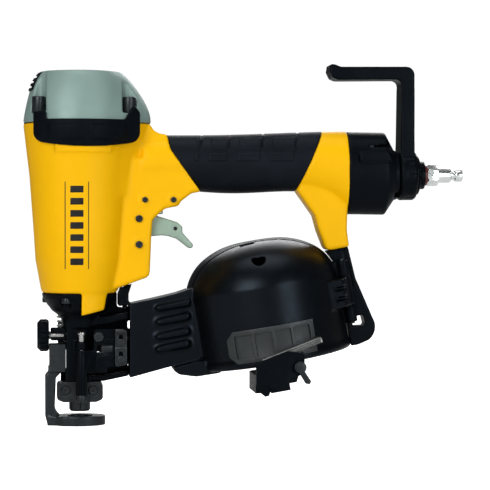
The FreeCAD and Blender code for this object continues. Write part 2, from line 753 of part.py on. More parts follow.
trigger_blank = prism(
    "trigger_blank", "XZ",
    [(39.2, 139.5), (38.8, 144.4), ((41.2, 147.4), (45, 147.6)), (50.5, 147.2), (58.6, 144.6), (72.3, 140.4),
     (76.2, 137), (76.4, 132.4), (83.6, 124.4), ((83.8, 121.6), (81.2, 120.8)), (72.3, 127.7), (66.5, 129.6),
     (61, 130.4), (52.9, 129.6), (46.5, 128.6), (41.5, 132.5)],
    -7.5, 7.5, corners=[(1.5, [(81.2, 120.8)])], rim=1.6,
)
trigger = cut(
    "trigger_cut", trigger_blank,
    cylinder("trigger_bore", 2.06, 30, (D.trigger_x, -15, D.trigger_z), ALONG_Y),
    prism("trigger_channel", "XZ", [(30, 131.5), (74.6, 132), (73.8, 142), (60, 160), (30, 160)], -4.6, 4.6),
    box("trip_way", (45.2, 55), (-4.6, 4.6), (120, 135)),
    cylinder("trigger_lever_bore", 1.5, 30, (71, -15, 135.4), ALONG_Y),
)
node(trigger, "trigger")
lever = prism(
    "trip_lever_plate", "XZ",
    [(46, 137.6), (46, 141), (56, 141.2), (64, 141.2), (70.5, 138.3), (73.2, 136.6), (73.2, 133.6),
     (71, 132.9),
     (66, 135.6), (56, 137.4)],
    -3.6, 3.6, corners=[(1.4, [(46, 141), (46, 137.6)])],
)
node(cut("trip_lever_cut", lever, cylinder("lever_bore", 1.56, 20, (71, -10, 135.4), ALONG_Y)), "trip_lever")
node(cylinder("lever_pin", 1.5, 13.4, (71, -6.7, 135.4), ALONG_Y), "trip_lever_pin")


def headed_pin(name, r, length, x, z):
    """A pin across the web with a low hollow head on its near end."""
    head_r = r + 0.6
    return turned(
        name,
        [(0, 1), (r * 0.55, 1), (r * 0.7, 0), (head_r, 0), (head_r, 1.2), (r, 1.2), (r, length - 0.5),
         (r - 0.5, length), (0, length)],
        (x, -length / 2, z), ALONG_Y,
    )


node(
    group(
        "frame_pin_set",
        headed_pin("lower_frame_pin", 2, 36, 43.5, 123.8),
        headed_pin("upper_frame_pin", 1.48, 36, 47.9, 156.8),
        headed_pin("ear_pin", 1.48, 36, EAR_X, 156.8),
        headed_pin("trigger_pin", 2, 34.6, number(D.trigger_x), number(D.trigger_z)),
        socket_screw("leg_screw", 1.6, 19.4, 3, 2.6, (191.5, -7.4, 125.6), Rotation(Vector(1, 0, 0), -90)),
    ),
    "frame_pins",
)


# ---------------------------------------------------------------- nose
nose_cone = turned(
    "nose_cone",
    [(D.channel_r, 62), (12.5, 62), (13.6, 68.4), (16.6, 71.8), (21, 75), (24.6, 79.6), (27.2, 84),
     (28, D.foot_z),
     (8, D.foot_z), (8, 86), (D.channel_r, 83)],
)
nose_block = box("nose_block", (-10, 9), (-10, 10), (D.tip_h, 68))
nose_back = prism(
    "nose_back", "XZ",
    [(6, 22.2), (17.5, 22.2), (36, 26), (36, 76), (28, 77), (28, 87.4), (18, 87.4), (18, 73), (6, 70)], 6.3,
    10,
    corners=[(3, [(36, 76)])],
)
nose_ledge = prism(
    "nose_ledge", "XZ", [(6, 22.2), (17.5, 22.2), (36, 26), (36, 30.2), (17, 26.6), (6, 26.6)], -6, 10
)
nose_roof = prism(
    "nose_roof", "XZ", [(6, 63), (20, 64.5), (36, 68.5), (36, 73), (20, 71), (6, 70)], -9, 10, rim=0.8
)
tip_backing = box("tip_backing", (-14, 14), (9, 12.4), (8.5, 30))
hinge_lug = fuse(
    "hinge_lug",
    cylinder("hinge_lug_eye", 4, 6, (D.hinge_x, D.hinge_y, 46.2)),
    box("hinge_lug_arm", (-3, 5), (-15, -9.5), (46.2, 52.2)),
)
dial_lug = box("dial_lug", (-21.6, -9.5), (-3.2, 3.2), (52.4, 62))
feed_mount = box("feed_mount", (13.9, 18.8), (9.5, 13.75), (-7, 6), FEED, FEED_BASE - Vector(0, 24, 0))
nose_solid = fuse(
    "nose_solid", nose_cone, nose_block, nose_back, nose_ledge, nose_roof, tip_backing, hinge_lug, dial_lug,
    feed_mount
)
nose_cuts = [
    cylinder("drive_channel", D.channel_r, 70, (0, 0, 15)),
    box("strip_gate", (0, 9.5), (-D.channel_r, D.channel_r), (26.6, 63)),
    box("door_gate", (4.5, 9.5), (-10.5, 0), (26.6, 63)),
    prism("pawl_window", "XZ", [(9.4, 32.6), (31, 38), (31, 46.4), (9.4, 42.6)], 5, 11),
    cylinder("dial_shaft_hole", 3.02, 11, (-22, 0, D.dial_z), ALONG_X),
    prism("tongue_seat", "XZ", [(0.9, 71.7), (17.7, 75.7), (20.3, 90), (0.9, 90)], -40, -13.9),
    cylinder("trip_spring_seat", 4.1, 14, (-13.4, 15.6, 64.3)),
    cylinder("hinge_pin_hole_top", 2.02, 20, (D.hinge_x, D.hinge_y, 40)),
]
for i, (x, y) in enumerate(NOSE_SCREWS):
    nose_cuts.append(cylinder(f"flange_hole_{i}", 2.02, 8, (x, y, 82)))
    nose_cuts.append(cylinder(f"flange_pocket_{i}", 4, 10, (x, y, 74.4)))
for i, x in enumerate((-10.5, 9.5)):
    nose_cuts.append(cylinder(f"backing_hole_{i}", 2.02, 8, (x, 6, 15.8), ALONG_Y))
node(cut("nose_cut", nose_solid, *nose_cuts), "nose_body")
node(
    group(
        "nose_screw_set",
        *[socket_screw(
            f"nose_screw_{i}", 2, 13, 3.6, 3.8, (x, y, 97.4), Rotation(Vector(1, 0, 0), 180),
        ) for i, (x, y) in enumerate(NOSE_SCREWS)],
        *[socket_screw(f"tip_screw_{i}", 2, 19.4, 3.3, 3, (x, 11.8, 15.8), Rotation(Vector(1, 0, 0), 90))
          for i, x in enumerate((-10.5, 9.5))],
    ),
    "nose_screws",
)
tip_ears = prism(
    "tip_ears", "XZ", [(-17, 9), (-17, 21.9), (17, 21.9), (17, 9), (12, 7), (-12, 7)], -9, 9,
    corners=[(3, [(-17, 21.9), (17, 21.9), (-17, 9), (17, 9)])],
)
tip_barrel = turned("tip_barrel", [(0, 0), (6.8, 0), (7.9, 1.4), (7.9, 9), (0, 9)])
tip_lug = fuse(
    "tip_lug",
    cylinder("tip_lug_eye", 4, 5.2, (D.hinge_x, D.hinge_y, 7.2)),
    box("tip_lug_arm", (-3, 5), (-15, -8.5), (7.2, 12.4)),
)
tip_cuts = [
    cylinder("muzzle_bore", D.muzzle_r, 40, (0, 0, -5)),
    box("tip_split", (-0.1, 0.7), (-12, -6), (-1, 7)),
    cylinder("hinge_pin_hole_tip", 2.02, 20, (D.hinge_x, D.hinge_y, 0)),
]
for i, x in enumerate((-10.5, 9.5)):
    tip_cuts.append(cylinder(f"tip_bolt_hole_{i}", 2.02, 30, (x, -15, 15.8), ALONG_Y))
    tip_cuts.append(cylinder(f"tip_bolt_sink_{i}", 3.5, 10, (x, -17.6, 15.8), ALONG_Y))
node(cut("tip_cut", fuse("tip_solid", tip_ears, tip_barrel, tip_lug), *tip_cuts), "nose_tip")

# ---------------------------------------------------------------- nose door
DOOR_END = 35
door_arm = prism(
    "door_arm", "XY",
    [(1, -19.1), (6, -17.6), (11.5, -12.8), (20, -12.8), (20, -7), (9.6, -7), (9.6, -10.6), (3, -10.9),
     (1, -10.9)],
    29, 45.6,
)
door_plate = prism(
    "door_plate", "XZ",
    [(10, 30.6), (DOOR_END, 35), (DOOR_END, 61.4), (10, 61.4)], -12.6, -6.6,
    corners=[(3, [(10, 61.4), (DOOR_END, 61.4)])], rim=1,
)
door_tube = cylinder("door_tube", 4.2, 32.9, (D.hinge_x, D.hinge_y, 12.8))
door_rib = prism("door_rib", "XZ", [(12, 38), (24.8, 40.5), (24.8, 43), (12, 40.5)], -14.2, -12)
door_rib_high = prism("door_rib_high", "XZ", [(18, 51), (24.8, 52.4), (24.8, 54.9), (18, 53.5)], -14.2, -12)
door = cut(
    "door_cut",
    fuse("door_solid", door_arm, door_plate, door_tube, door_rib, door_rib_high),
    cylinder("door_tube_bore", 2.06, 60, (D.hinge_x, D.hinge_y, 0)),
    box("pawl_port", (12.6, 24), (-13, -6), (43.6, 49.4)),
    box("pawl_port_rear", (23.9, 30.6), (-11.8, -6), (43.6, 49.4)),
    cylinder("check_pin_hole", 1.22, 14, (27.6, -9.3, 40)),
    cylinder("latch_pin_low_hole", 1.42, 2.4, (30, -13, 39), ALONG_Y),
    cylinder("latch_pin_high_hole", 1.42, 2.4, (30, -13, 51.4), ALONG_Y),
    cylinder("door_screw_hole", 1.62, 6, (13.7, -13, 55.5), ALONG_Y),
)
node(door, "nose_door")
node(
    turned(
        "door_pin_turned",
        [(0, 7.4), (1.6, 7.4), (2, 7.9), (2, 57.4), (3, 57.4), (3, 58.8), (2.4, 59.4), (0, 59.4)],
        (D.hinge_x, D.hinge_y, 0),
    ),
    "door_hinge_pin",
)
door_screw = turned(
    "door_screw", [(0, 0), (3.4, 0), (3.2, 1), (1.6, 1.5), (1.6, 5.6), (0, 5.6)], (13.7, -14.2, 55.5), ALONG_Y
)
pawl = cut(
    "check_pawl_cut",
    prism(
        "check_pawl_blank", "XY",
        [(26.2, -11), (29.4, -10.8), (29.6, -7.6), (26, -7.3), (16.4, -4.2), (14.2, -4.6), (14, -6),
         (16, -8.8)],
        43.9, 49.1, corners=[(1, [(14, -6)])],
    ),
    cylinder("check_pawl_bore", 1.26, 20, (27.6, -9.3, 35)),
)
node(pawl, "check_pawl")
node(cylinder("check_pin", 1.2, 11, (27.6, -9.3, 41)), "check_pawl_pin")
latch = cut(
    "latch_cut",
    prism(
        "latch_plate", "XZ",
        [(26, 33.5), (34.4, 35), (34.4, 59.6), (31.5, 61), (26, 61)], -15.2, -12.9,
        corners=[(1.5, [(26, 33.5), (34.4, 35)])],
    ),
    *[fuse(
        f"latch_slot_{i}",
        cylinder(f"latch_slot_low_{i}", 1.7, 6, (30, -17, z), ALONG_Y),
        cylinder(f"latch_slot_high_{i}", 1.7, 6, (30, -17, z + 4.4), ALONG_Y),
        box(f"latch_slot_mid_{i}", (28.3, 31.7), (-17, -11), (z, z + 4.4)),
    ) for i, z in enumerate((38.9, 51.3))],
    box("latch_groove", (26, 34.4), (-16, -14.6), (47.4, 49.2)),
)
latch_grip = prism("latch_grip", "XZ", [(26, 58.6), (34.4, 58.6), (34.4, 60.4), (26, 60.4)], -19.4, -12.9,
                   rim=0.5)
node(fuse("latch_solid", latch, latch_grip), "door_latch")
node(
    group(
        "door_screw_set",
        door_screw,
        *[turned(
            f"latch_pin_{i}", [(0, 0), (2.6, 0), (2.6, 1.3), (1.4, 1.3), (1.4, 6.1), (0, 6.1)],
            (30, -16.8, z), ALONG_Y,
        ) for i, z in enumerate((39, 51.4))],
    ),
    "door_screws",
)

# ---------------------------------------------------------------- contact trip and depth dial
foot_ring = prism(
    "foot_ring", "XY",
    [(-17, -8.5), ((-13.5, -12.4), (-8, -13.6)), ((2, -15), (10, -12.6)), ((19, 0), (10, 12.6)),
     ((2, 15), (-8, 13.6)), ((-13.5, 12.4), (-17, 8.5)), (-24, 6.5), (-24, -6.5)],
    -10.4, -3.3,
)
foot_bar = prism(
    "foot_bar", "XZ",
    [(-23.9, -10), (-25.7, -3), (-25.7, 27), (-23.4, 29.5), (-23.4, 33.4), (-12.4, 33.4), (-12.4, 30.5),
     (-17.6, 25), (-18.4, 5), ((-17, -0.5), (-13.6, -3.5)), (-13.6, -10)],
    -6.4, 6.4, rim=0.8,
)
trip_plate = cut(
    "trip_plate_cut",
    box("trip_plate", (-22.6, -10.4), (-9, 8.6), (29.4, 50)),
    box("trip_notch", (-25, -8), (-3.7, 3.7), (40.4, 60)),
)
foot = cut(
    "foot_cut",
    fuse("foot_solid", foot_ring, foot_bar, trip_plate),
    cylinder("foot_hole", 9.2, 20, (0, 0, -18)),
    prism("foot_grip_notch", "XZ", [(15, -12), (17, -10), (19.4, -12)], -20, 20),
    cylinder("foot_bar_hole", 2.2, 20, (-30, 0, 12), ALONG_X),
)
node(foot, "contact_foot")
trip_arm = fuse(
    "trip_arm_solid",
    box("arm_tab", (-16, -12.4), (8.6, 25), (44, 50)),
    box("arm_front_riser", (-16, -9), (22, 25), (44, 66)),
    box("arm_run", (-16, 36.4), (22, 25), (60, 65.4)),
    box("arm_rear_riser", (32.8, 36.4), (22, 25), (60, 82.9)),
    box("arm_bridge", (32.8, 36.4), (-3, 25), (80.1, 82.9)),
    box("arm_riser", (32.8, 36.4), (-3, 3), (80.1, 111.2)),
    box("arm_jog", (32.8, 51.2), (-3, 3), (106.4, 111.2)),
    box("arm_finger", (47.6, 51.2), (-3, 3), (106.4, 125)),
)
node(trip_arm, "trip_arm")
node(spring("trip_spring_sweep", 3.2, 0.55, 27, 8, (-13.4, 15.6, 50.6)), "trip_spring")
dial_notches = [
    cylinder(
        f"dial_notch_{i}", 1, 14,
        (-34, D.dial_r * math.sin(math.radians(20 * i)),
         D.dial_z + D.dial_r * math.cos(math.radians(20 * i))), ALONG_X,
    )
    for i in range(18)
]
dial = cut(
    "dial_cut",
    turned(
        "dial_disc",
        [(0, 0), (D.dial_r - 2.6, 0), (D.dial_r, 2.6), (D.dial_r, 7.4), (D.dial_r - 1.4, 8.8), (6, 8.8),
         (6, 7.6), (0, 7.6)],
        (-31.5, 0, D.dial_z), ALONG_X,
    ),
    *dial_notches,
    cylinder("dial_bore", 3.06, 30, (-29.6, 0, D.dial_z), ALONG_X),
)
node(dial, "depth_dial")
node(
    turned("dial_shaft_turned", [(0, 0), (3, 0), (3, 17.6), (2.4, 18.2), (0, 18.2)], (-29.4, 0, D.dial_z),
           ALONG_X),
    "dial_shaft",
)

# ---------------------------------------------------------------- strip feed, on the far side of the nose
def feed_cylinder(name, r, h, u, v=0, w=0):
    """A round piece along the feed direction, u ahead of the feed's start."""
    return cylinder(name, r, h, (u, v, w), ALONG_X, FEED_BASE, FEED)


node(
    cut(
        "feed_barrel_cut",
        feed_cylinder("feed_barrel", 10.2, 24, 14),
        feed_cylinder("feed_bore", 8.6, 22, 17),
        feed_cylinder("feed_rod_hole", 3.04, 10, 10),
    ),
    "feed_cylinder",
)
node(
    fuse("feed_cap_solid", feed_cylinder("feed_cap_plug", 8.55, 3.4, 35), feed_cylinder("feed_cap_flange",
        10.2, 2.4, 38)),
    "feed_cylinder_cap",
)
feed_block = box("feed_block", (-5.6, 3.2), (13, 28), (-4, 4), FEED, FEED_BASE - Vector(0, 24, 0))
feed_piston = fuse(
    "feed_piston_solid",
    feed_block,
    feed_cylinder("feed_rod", 3, 19, 1),
    feed_cylinder("feed_head", 8.54, 3.4, 17.6),
    feed_cylinder("feed_spring_post", 2.4, 3, 20.5),
)
node(
    cut(
        "feed_piston_cut", feed_piston,
        box("pawl_fork", (-7, 3.4), (12, 19.8), (-2.6, 2.6), FEED, FEED_BASE - Vector(0, 24, 0)),
        cylinder("pawl_pin_way", 1.32, 20, (0.4, -7.6, -10), None, FEED_BASE, FEED),
    ),
    "feed_piston",
)
node(
    place(
        spring("feed_spring_sweep", 5.6, 0.6, 12.4, 5, (0, 0, 0)),
        tuple(FEED_BASE + FEED.multVec(Vector(21.8, 0, 0))), FEED.multiply(ALONG_X),
    ),
    "feed_spring",
)
feed_pawl = prism(
    "feed_pawl_blank", "XY",
    [(-2, 18.6), (2.6, 18.6), (2.6, 13.4), (-1, 9.6), (-3, 4.6), (-5.4, 4.8), (-4.2, 10), (-3, 14.4)], -2.2,
    2.2,
    at=tuple(FEED_BASE - Vector(0, 24, 0)), turn=FEED,
)
node(
    cut("feed_pawl_cut", feed_pawl, cylinder("feed_pawl_bore", 1.36, 20, (0.4, -7.6, -10), None, FEED_BASE,
                                             FEED)),
    "feed_pawl",
)
node(cylinder("feed_pawl_pin_turned", 1.3, 7.6, (0.4, -7.6, -3.8), None, FEED_BASE, FEED), "feed_pawl_pin")


# ---------------------------------------------------------------- magazine
SPLIT_V = D.split_y - D.can_y  # the split plane in the canister's own frame
HINGE_U = 61


def can_turned(name, points):
    return turned(name, points, tuple(CAN_BASE), LEAN)


def can_box(name, u, v, w):
    return box(name, u, v, w, LEAN, CAN_BASE)


def can_cylinder(name, r, h, u, v, w, turn=None):
    return cylinder(name, r, h, (u, v, w), turn, CAN_BASE, LEAN)


def dome(name, inset, low, lip=0):
    """The canister's outline turned about its own axis, shrunk by inset."""
    r, h = D.can_r - inset, D.can_h - inset
    foot = [(0, low), (r, low)]
    if lip:
        foot = [(0, low), (r - 1.4 + lip, low), (r + lip, low + 1.4), (r + lip, 5), (r, 6.4)]
    shoulder_arc = ((r - 4.2, 68 - inset * 0.55), (r - 15.6, 80.4 - inset))
    crown_arc = ((r - 28, 86.6 - inset), (r - 46, 90 - inset))
    return can_turned(name, foot + [(r, 57), shoulder_arc, crown_arc, (0, h)])


def throat(name, low_y, high_y, shrink=0.0):
    """The passage for the nail strip between the canister and the nose."""
    if shrink:
        points = [(30, 28.4), (96, 45), (110, 48.6), (104, 84), (74, 80.6), (30, 70)]
    else:
        points = [(36.6, 24.9), (96, 40.8), (112, 45), (108, 97), (80, 90.4), (72, 87.6), (54, 83.4),
                  (36.6, 79.8)]
    return prism(name, "XZ", points, low_y, high_y)


cavity = dome("can_cavity", D.can_wall, 3)
fixed_side = box("fixed_side", (20, 260), (D.split_y + D.split_gap, 90), (0, 160))
cover_side = box("cover_side", (20, 260), (-90, D.split_y - D.split_gap), (0, 160))
front_lug = cut(
    "front_lug",
    prism(
        "front_lug_plate", "XZ",
        [(22.4, 77), (37.4, 79), (37.4, 80.2), (35.2, 84), (38.6, 94.6), (30, 91.6), (29, 87.7),
         (22.4, 87.7)], -9, 9,
    ),
    box("arm_way", (32, 45), (-3.7, 10), (79.7, 101)),
)
toe = prism(
    "toe", "XZ", [(68.8, 30.6), (73, 27.4), (86, 25.7), (104, 28.4), (104, 37), (88, 37.6), (69.4, 32.8)],
    -17.6, 12,
    corners=[(2, [(68.8, 30.6)])],
)
base_lugs = [
    can_box(f"base_lug_{i}", (49, HINGE_U), (SPLIT_V + 0.3, SPLIT_V + 4.4), (w, w + 12.7)) for i,
    w in enumerate((18, 52.3))
]
base_eyes = [can_cylinder(f"base_eye_{i}", 4.2, 12.7, HINGE_U, SPLIT_V, w) for i, w in enumerate((18, 52.3))]
hinge_bore = can_cylinder("hinge_bore", 2.04, 90, HINGE_U, SPLIT_V, 0)
base_shell = common("base_half", fuse("base_toed", dome("base_dome", 0, 0, 1.2), toe), fixed_side)
base_rings = [
    can_turned(f"base_rib_{i}", [(D.can_r - 1, w), (D.can_r + 0.9, w + 0.7), (D.can_r + 0.9, w + 1.7),
                                 (D.can_r - 1, w + 2.4)])
    for i, w in enumerate((18, 36, 54))
]
base = cut(
    "base_cut",
    fuse(
        "base_solid",
        cut("base_hollow", fuse("base_ribbed", base_shell, common("base_ribs", fuse("base_ring_set",
            *base_rings), fixed_side)),
            cavity, throat("base_track", -30, 6.5, 1)),
        *base_lugs, *base_eyes,
    ),
    hinge_bore,
    can_cylinder("post_seat", 3.02, 4, 0, 0, -0.5),
)
node(base, "canister_base")
node(
    cut(
        "channel_cut",
        common(
            "channel_half",
            fuse(
                "channel_blank", throat("base_throat", -30, 13), front_lug,
                prism("channel_flange", "XZ", [(27, 53), (40, 55), (40, 78), (27, 74)], 10.3, 13),
                prism("channel_foot", "XZ", [(20, 22.6), (40, 26.6), (40, 32.6), (20, 29)], 10.3, 13),
            ),
            fixed_side,
        ),
        dome("channel_seat", -0.01, -2, 1.2),
        *base_rings,
        throat("channel_track", -30, 6.5, 1),
        cylinder("barrel_way", 29.4, 40, (0, 0, 60)),
        prism("catch_window", "XZ", [(36, 60), (41, 61), (41, 67), (36, 66)], -12, 20),
    ),
    "strip_channel",
)

cheek_ribs = [
    prism(
        f"cheek_rib_{i}", "XZ",
        [(56, z - 1.6), (81, z + 2.4), (81, z + 7.6), (56, z + 2.2)], -17.4, -12,
        corners=[(0.6, [(56, z - 1.6)])],
    )
    for i, z in enumerate((45.5, 54.6, 65.6, 76))
]
cover_blank = fuse("cover_blank", dome("cover_dome", 0, 0, 1.2), throat("cover_throat", -13, 30), toe,
                   *cheek_ribs)
cover_half = cut("cover_hollow", common("cover_half", cover_blank, cover_side), cavity)
hinge_block = prism(
    "hinge_block", "XY", [(44, SPLIT_V - 0.3), (HINGE_U, SPLIT_V - 0.3), (HINGE_U, -27), (57, -33),
                          (44, -38)], 31, 52,
    corners=[(3, [(57, -33)])], at=tuple(CAN_BASE), turn=LEAN,
)
frame_ring = can_turned("frame_ring", [(57.2, 4.5), (60.6, 4.5), (60.6, 31), (57.2, 31)])
frame_plate = common(
    "frame_plate", frame_ring,
    prism("frame_shape", "XZ", [(-37, 10), (-37, 22.5), (-32, 28.4), (27, 28.4), (27, 4.5), (-32, 4.5)],
          -80, -20,
          corners=[(4, [(-37, 10), (-37, 22.5)])], at=tuple(CAN_BASE), turn=LEAN),
)
frame_cells = cut(
    "frame_cells",
    fuse("frame_cell_blocks", *[can_box(f"frame_cell_{i}", (-32 + 14.4 * i, -19.2 + 14.4 * i), (-80, -20),
                                        (8, 25)) for i in range(4)]),
    can_turned("frame_cell_floor", [(0, 0), (58.9, 0), (58.9, 40), (0, 40)]),
)
node(cut("frame_cut", frame_plate, frame_cells, dome("frame_seat", -0.02, -1, 1.2)), "guide_frame")
RAIL_TURN = Rotation(Vector(0, 1, 0), -21)
RAIL_BASE = Vector(131, 0, 37.2)
rail = cut(
    "rail_cut",
    fuse(
        "rail_solid",
        box("rail_web", (0, 46), (-57.6, -40), (0.6, 3.6), RAIL_TURN, RAIL_BASE),
        box("rail_face", (0, 46), (-60.4, -57.6), (0.1, 4.1), RAIL_TURN, RAIL_BASE),
        box("rail_stop", (44, 46), (-62.4, -60.4), (0.1, 4.1), RAIL_TURN, RAIL_BASE),
    ),
    can_turned("rail_seat", [(0, -10), (60.62, -10), (60.62, 60), (0, 60)]),
    box("rail_line", (1, 43), (-62, -59), (1.1, 3.1), RAIL_TURN, RAIL_BASE),
)
node(rail, "guide_rail")
cover = cut(
    "cover_cut",
    fuse("cover_solid", cover_half, hinge_block, can_cylinder("cover_eye", 4.2, 21, HINGE_U, SPLIT_V, 31)),
    hinge_bore,
    cavity,
    can_box("block_slot_high", (50, 59.5), (-60, -29.5), (43.6, 46.6)),
    can_box("block_slot_low", (50, 59.5), (-60, -29.5), (36.2, 39.2)),
    can_box("top_notch", (-13, -3), (-23, -15), (84, 95)),
    common(
        "view_slot", can_cylinder("view_round", 4.8, 30, -4, -70, 77.6, ALONG_Y),
        can_box("view_flat", (-10, 2), (-75, -30), (70, 78.4)),
    ),
)
node(cover, "canister_cover")
node(can_cylinder("hinge_pin_turned", 2, 49, HINGE_U, SPLIT_V, 17), "canister_hinge_pin")
post = can_turned("post_turned", [(0, -0.4), (3, -0.4), (3, 3.02), (5, 3.02), (5, 62), (3.6, 64), (0, 64)])
node(
    cut("post_cut", post, *[can_cylinder(f"post_notch_{i}", 1.2, 14, -7, -4.9, 16 + 6 * i,
                                         ALONG_X) for i in range(5)]),
    "platform_post",
)
platform = can_turned(
    "platform_turned",
    [(5.06, 6), (9, 6), (9, 13), (40, 13), (42, 14), (42, 15.6), (9, 15.6), (9, 20), (5.06, 20)],
)
platform_gaps = [
    cylinder(f"platform_gap_{i}", 7, 20, (26 * math.cos(math.radians(60 * i)),
                                          26 * math.sin(math.radians(60 * i)), 8),
             None, CAN_BASE, LEAN)
    for i in range(6)
]
node(cut("platform_cut", platform, *platform_gaps), "nail_platform")

outside = dome("can_outside", -0.95, -1, 0.3)
bracket = prism(
    "bracket_plate", "XZ",
    [(176, 110), (184.3, 118.2), (201.1, 121.9), (207, 98), (214.6, 80.7), (220.2, 68),
     ((221.8, 58.6), (216.6, 51)),
     (209, 47.8), (190, 44.8), (176, 60)],
    -5, 13,
)
bracket_tongue = prism("bracket_tongue", "XZ", [(188.2, 116), (197.8, 116), (196.3, 130.6), (186.8, 130.6)],
                       -4, 4)
node(
    cut(
        "bracket_cut",
        fuse("bracket_solid", bracket, bracket_tongue),
        outside,
        prism("bracket_window", "XZ", [(204.4, 62), (214.6, 62.4), (212.6, 70.4), (206, 69)], -20, 30),
        prism("bracket_groove", "XZ", [(196.6, 118.6), (198, 118.8), (205.4, 92), (204, 91.6)], -8, -4),
        cylinder("tongue_hole", 1.62, 22, (191.5, -10, 125.6), ALONG_Y),
        can_cylinder("bracket_eye_way", 4.6, 90, HINGE_U, SPLIT_V, 0),
        can_box("bracket_lug_way", (45, HINGE_U + 1), (-30, SPLIT_V + 4.5), (10, 75)),
    ),
    "rear_bracket",
)
# ---------------------------------------------------------------- shingle guide, on the cover
guide_parts = fuse(
    "guide_solid",
    prism(
        "guide_plate", "XZ",
        [(125.2, 33), (125.2, 24), (129, 17), (131.6, 14.8), (134.6, 15.4), (135.4, 18), (139, 19.8),
         (139, 22.6),
         (154.6, 25.2), (156, 29.6), (160.4, 31), (160.4, 45.6), (148, 47.6), (125.2, 39)],
        -64.2, -60.8, rim=0.7,
    ),
    prism("guide_block", "XZ", [(125.2, 17), (129, 17), (129, 24.4), (153, 28.4), (153, 34.4), (125.2, 30)],
          -61, -16, rim=0.6),
    box("guide_lip", (2, 30), (-61, -57.9), (-6.4, -1.2), RAIL_TURN, RAIL_BASE),
    prism("guide_step", "XZ", [(136, 17.4), (150, 19.8), (149, 25), (135, 22.6)], -66.6, -61, rim=0.6),
)
node(cut("guide_cut", guide_parts, cylinder("guide_screw_hole", 2.02, 20, (157, -68, 36), ALONG_Y)),
     "shingle_guide")
guide_lever = fuse(
    "lever_solid",
    turned("lever_boss", [(2.06, 0), (4.2, 0), (4.2, 3.4), (2.06, 3.4)], (157, -68.1, 36), ALONG_Y),
    cut(
        "lever_arm",
        prism("lever_arm_plate", "XZ", [(155, 33.6), (159.4, 34), (164.6, 26), (163.4, 23.8),
                                        (160.6, 24.4)], -68.1, -65.4,
              corners=[(0.8, [(163.4, 23.8)])]),
        cylinder("lever_arm_bore", 2.06, 20, (157, -75, 36), ALONG_Y),
    ),
)
node(guide_lever, "guide_lever")
node(
    turned("guide_screw_turned", [(0, 0), (3.2, 0), (3.2, 1), (2, 1.4), (2, 8.6), (0, 8.6)],
           (157, -69.5, 36), ALONG_Y),
    "guide_screw",
)

# ---------------------------------------------------------------- handle cap, hook and air plug
tail_blank = loft(
    "tail_cap_blank",
    ellipse("tail_cap_front", D.tail_x, 177, 31, 22),
    ellipse("tail_cap_back", 229, 176.6, 31, 21.6),
    ellipse("tail_cap_bevel", 235.6, D.inlet_z, 19.5, 18.6),
    ruled=True,
)
tail_neck = cylinder("tail_neck", 18.4, 3.4, (235.4, 0, D.inlet_z), ALONG_X)
tail_screw_spots = ((13, 195), (-13, 195), (9, 163), (-9, 163))
tail_cuts = [
    cylinder("tail_bore", 9.6, 60, (190, 0, D.inlet_z + 1), ALONG_X),
    cylinder("tail_plenum", D.plenum_r, 14, (199, 0, D.handle_z - 0.6), ALONG_X),
    cylinder("tail_thread", 8.02, 30, (220, 0, D.inlet_z), ALONG_X),
]
for i, (y, z) in enumerate(tail_screw_spots):
    tail_cuts.append(cylinder(f"tail_hole_{i}", 2.02, 30, (195, y, z), ALONG_X))
    tail_cuts.append(cylinder(f"tail_pocket_{i}", 3.8, 30, (215, y, z), ALONG_X))
for i, side in enumerate((-1, 1)):
    low, high = sorted((side * 18.6, side * 30))
    tail_cuts.append(
        prism(
            f"tail_slot_{i}", "XZ", [(207, 184.8), (232, 184.8), (232, 194), (207, 194)], low, high,
            corners=[(2, [(207, 184.8), (207, 194)])],
        )
    )
node(cut("tail_cut", fuse("tail_solid", tail_blank, tail_neck), *tail_cuts), "handle_cap")
node(
    group(
        "tail_screw_set",
        *[socket_screw(f"tail_screw_{i}", 2, 25.9, 3.5, 4, (189.2, y, z), ALONG_X) for i,
          (y, z) in enumerate(tail_screw_spots)],
    ),
    "handle_cap_screws",
)
node(
    turned(
        "bushing_turned",
        [(5.6, 0), (8, 0), (8, 13.8), (11.9, 13.9), (11.9, 28.5), (14.6, 28.5), (14.6, 29.7), (10.4, 31.4),
         (10.4, 34.5), (5.6, 34.5)],
        (224.9, 0, D.inlet_z), ALONG_X,
    ),
    "inlet_bushing",
)
collar = turned(
    "hook_collar",
    [(11.96, 0), (17.6, 0), (D.hook_r - 0.7, 1.2), (D.hook_r - 0.7, 11.2), (17.2, 13.4), (11.96, 13.4)],
    (239.4, 0, D.inlet_z), ALONG_X,
)
collar_pockets = [
    cylinder(
        f"collar_pocket_{i}", 2.2, 20,
        (244, (D.hook_r + 1) * math.cos(math.radians(30 * i)),
         D.inlet_z.value + 20.5 * math.sin(math.radians(30 * i))), ALONG_X,
    )
    for i in range(12) if i not in (2, 3, 4)
]
hook_side = prism(
    "hook_side", "XZ",
    [(239.6, 170), (250.4, 170), (250.6, 250), ((248.7, 255), (243.8, 256.8)), (194.6, 256.4),
     (190.4, 258.2), (187, 258.4),
     (186.2, 253), (188.6, 248), (192.6, 246.4), (236.4, 247), ((239.5, 245.6), (240.8, 242.4))],
    -14, 14,
)
hook_front = prism("hook_front", "YZ", [(-13.4, 170), (13.4, 170), (11.6, 262), (-11.6, 262)], 180, 252)
hook = cut(
    "hook_cut",
    fuse("hook_solid", collar, cut("hook_arm", common("hook_shape", hook_side, hook_front),
         cylinder("hook_arm_bore", 13, 30, (230, 0, D.inlet_z), ALONG_X))),
    *collar_pockets,
)
node(hook, "rafter_hook")
node(
    turned("inlet_ring_turned", [(6.4, 0), (8.2, 0), (7.6, 2.3), (6.4, 2.3)], (259.4, 0, D.inlet_z), ALONG_X),
    "inlet_ring",
)
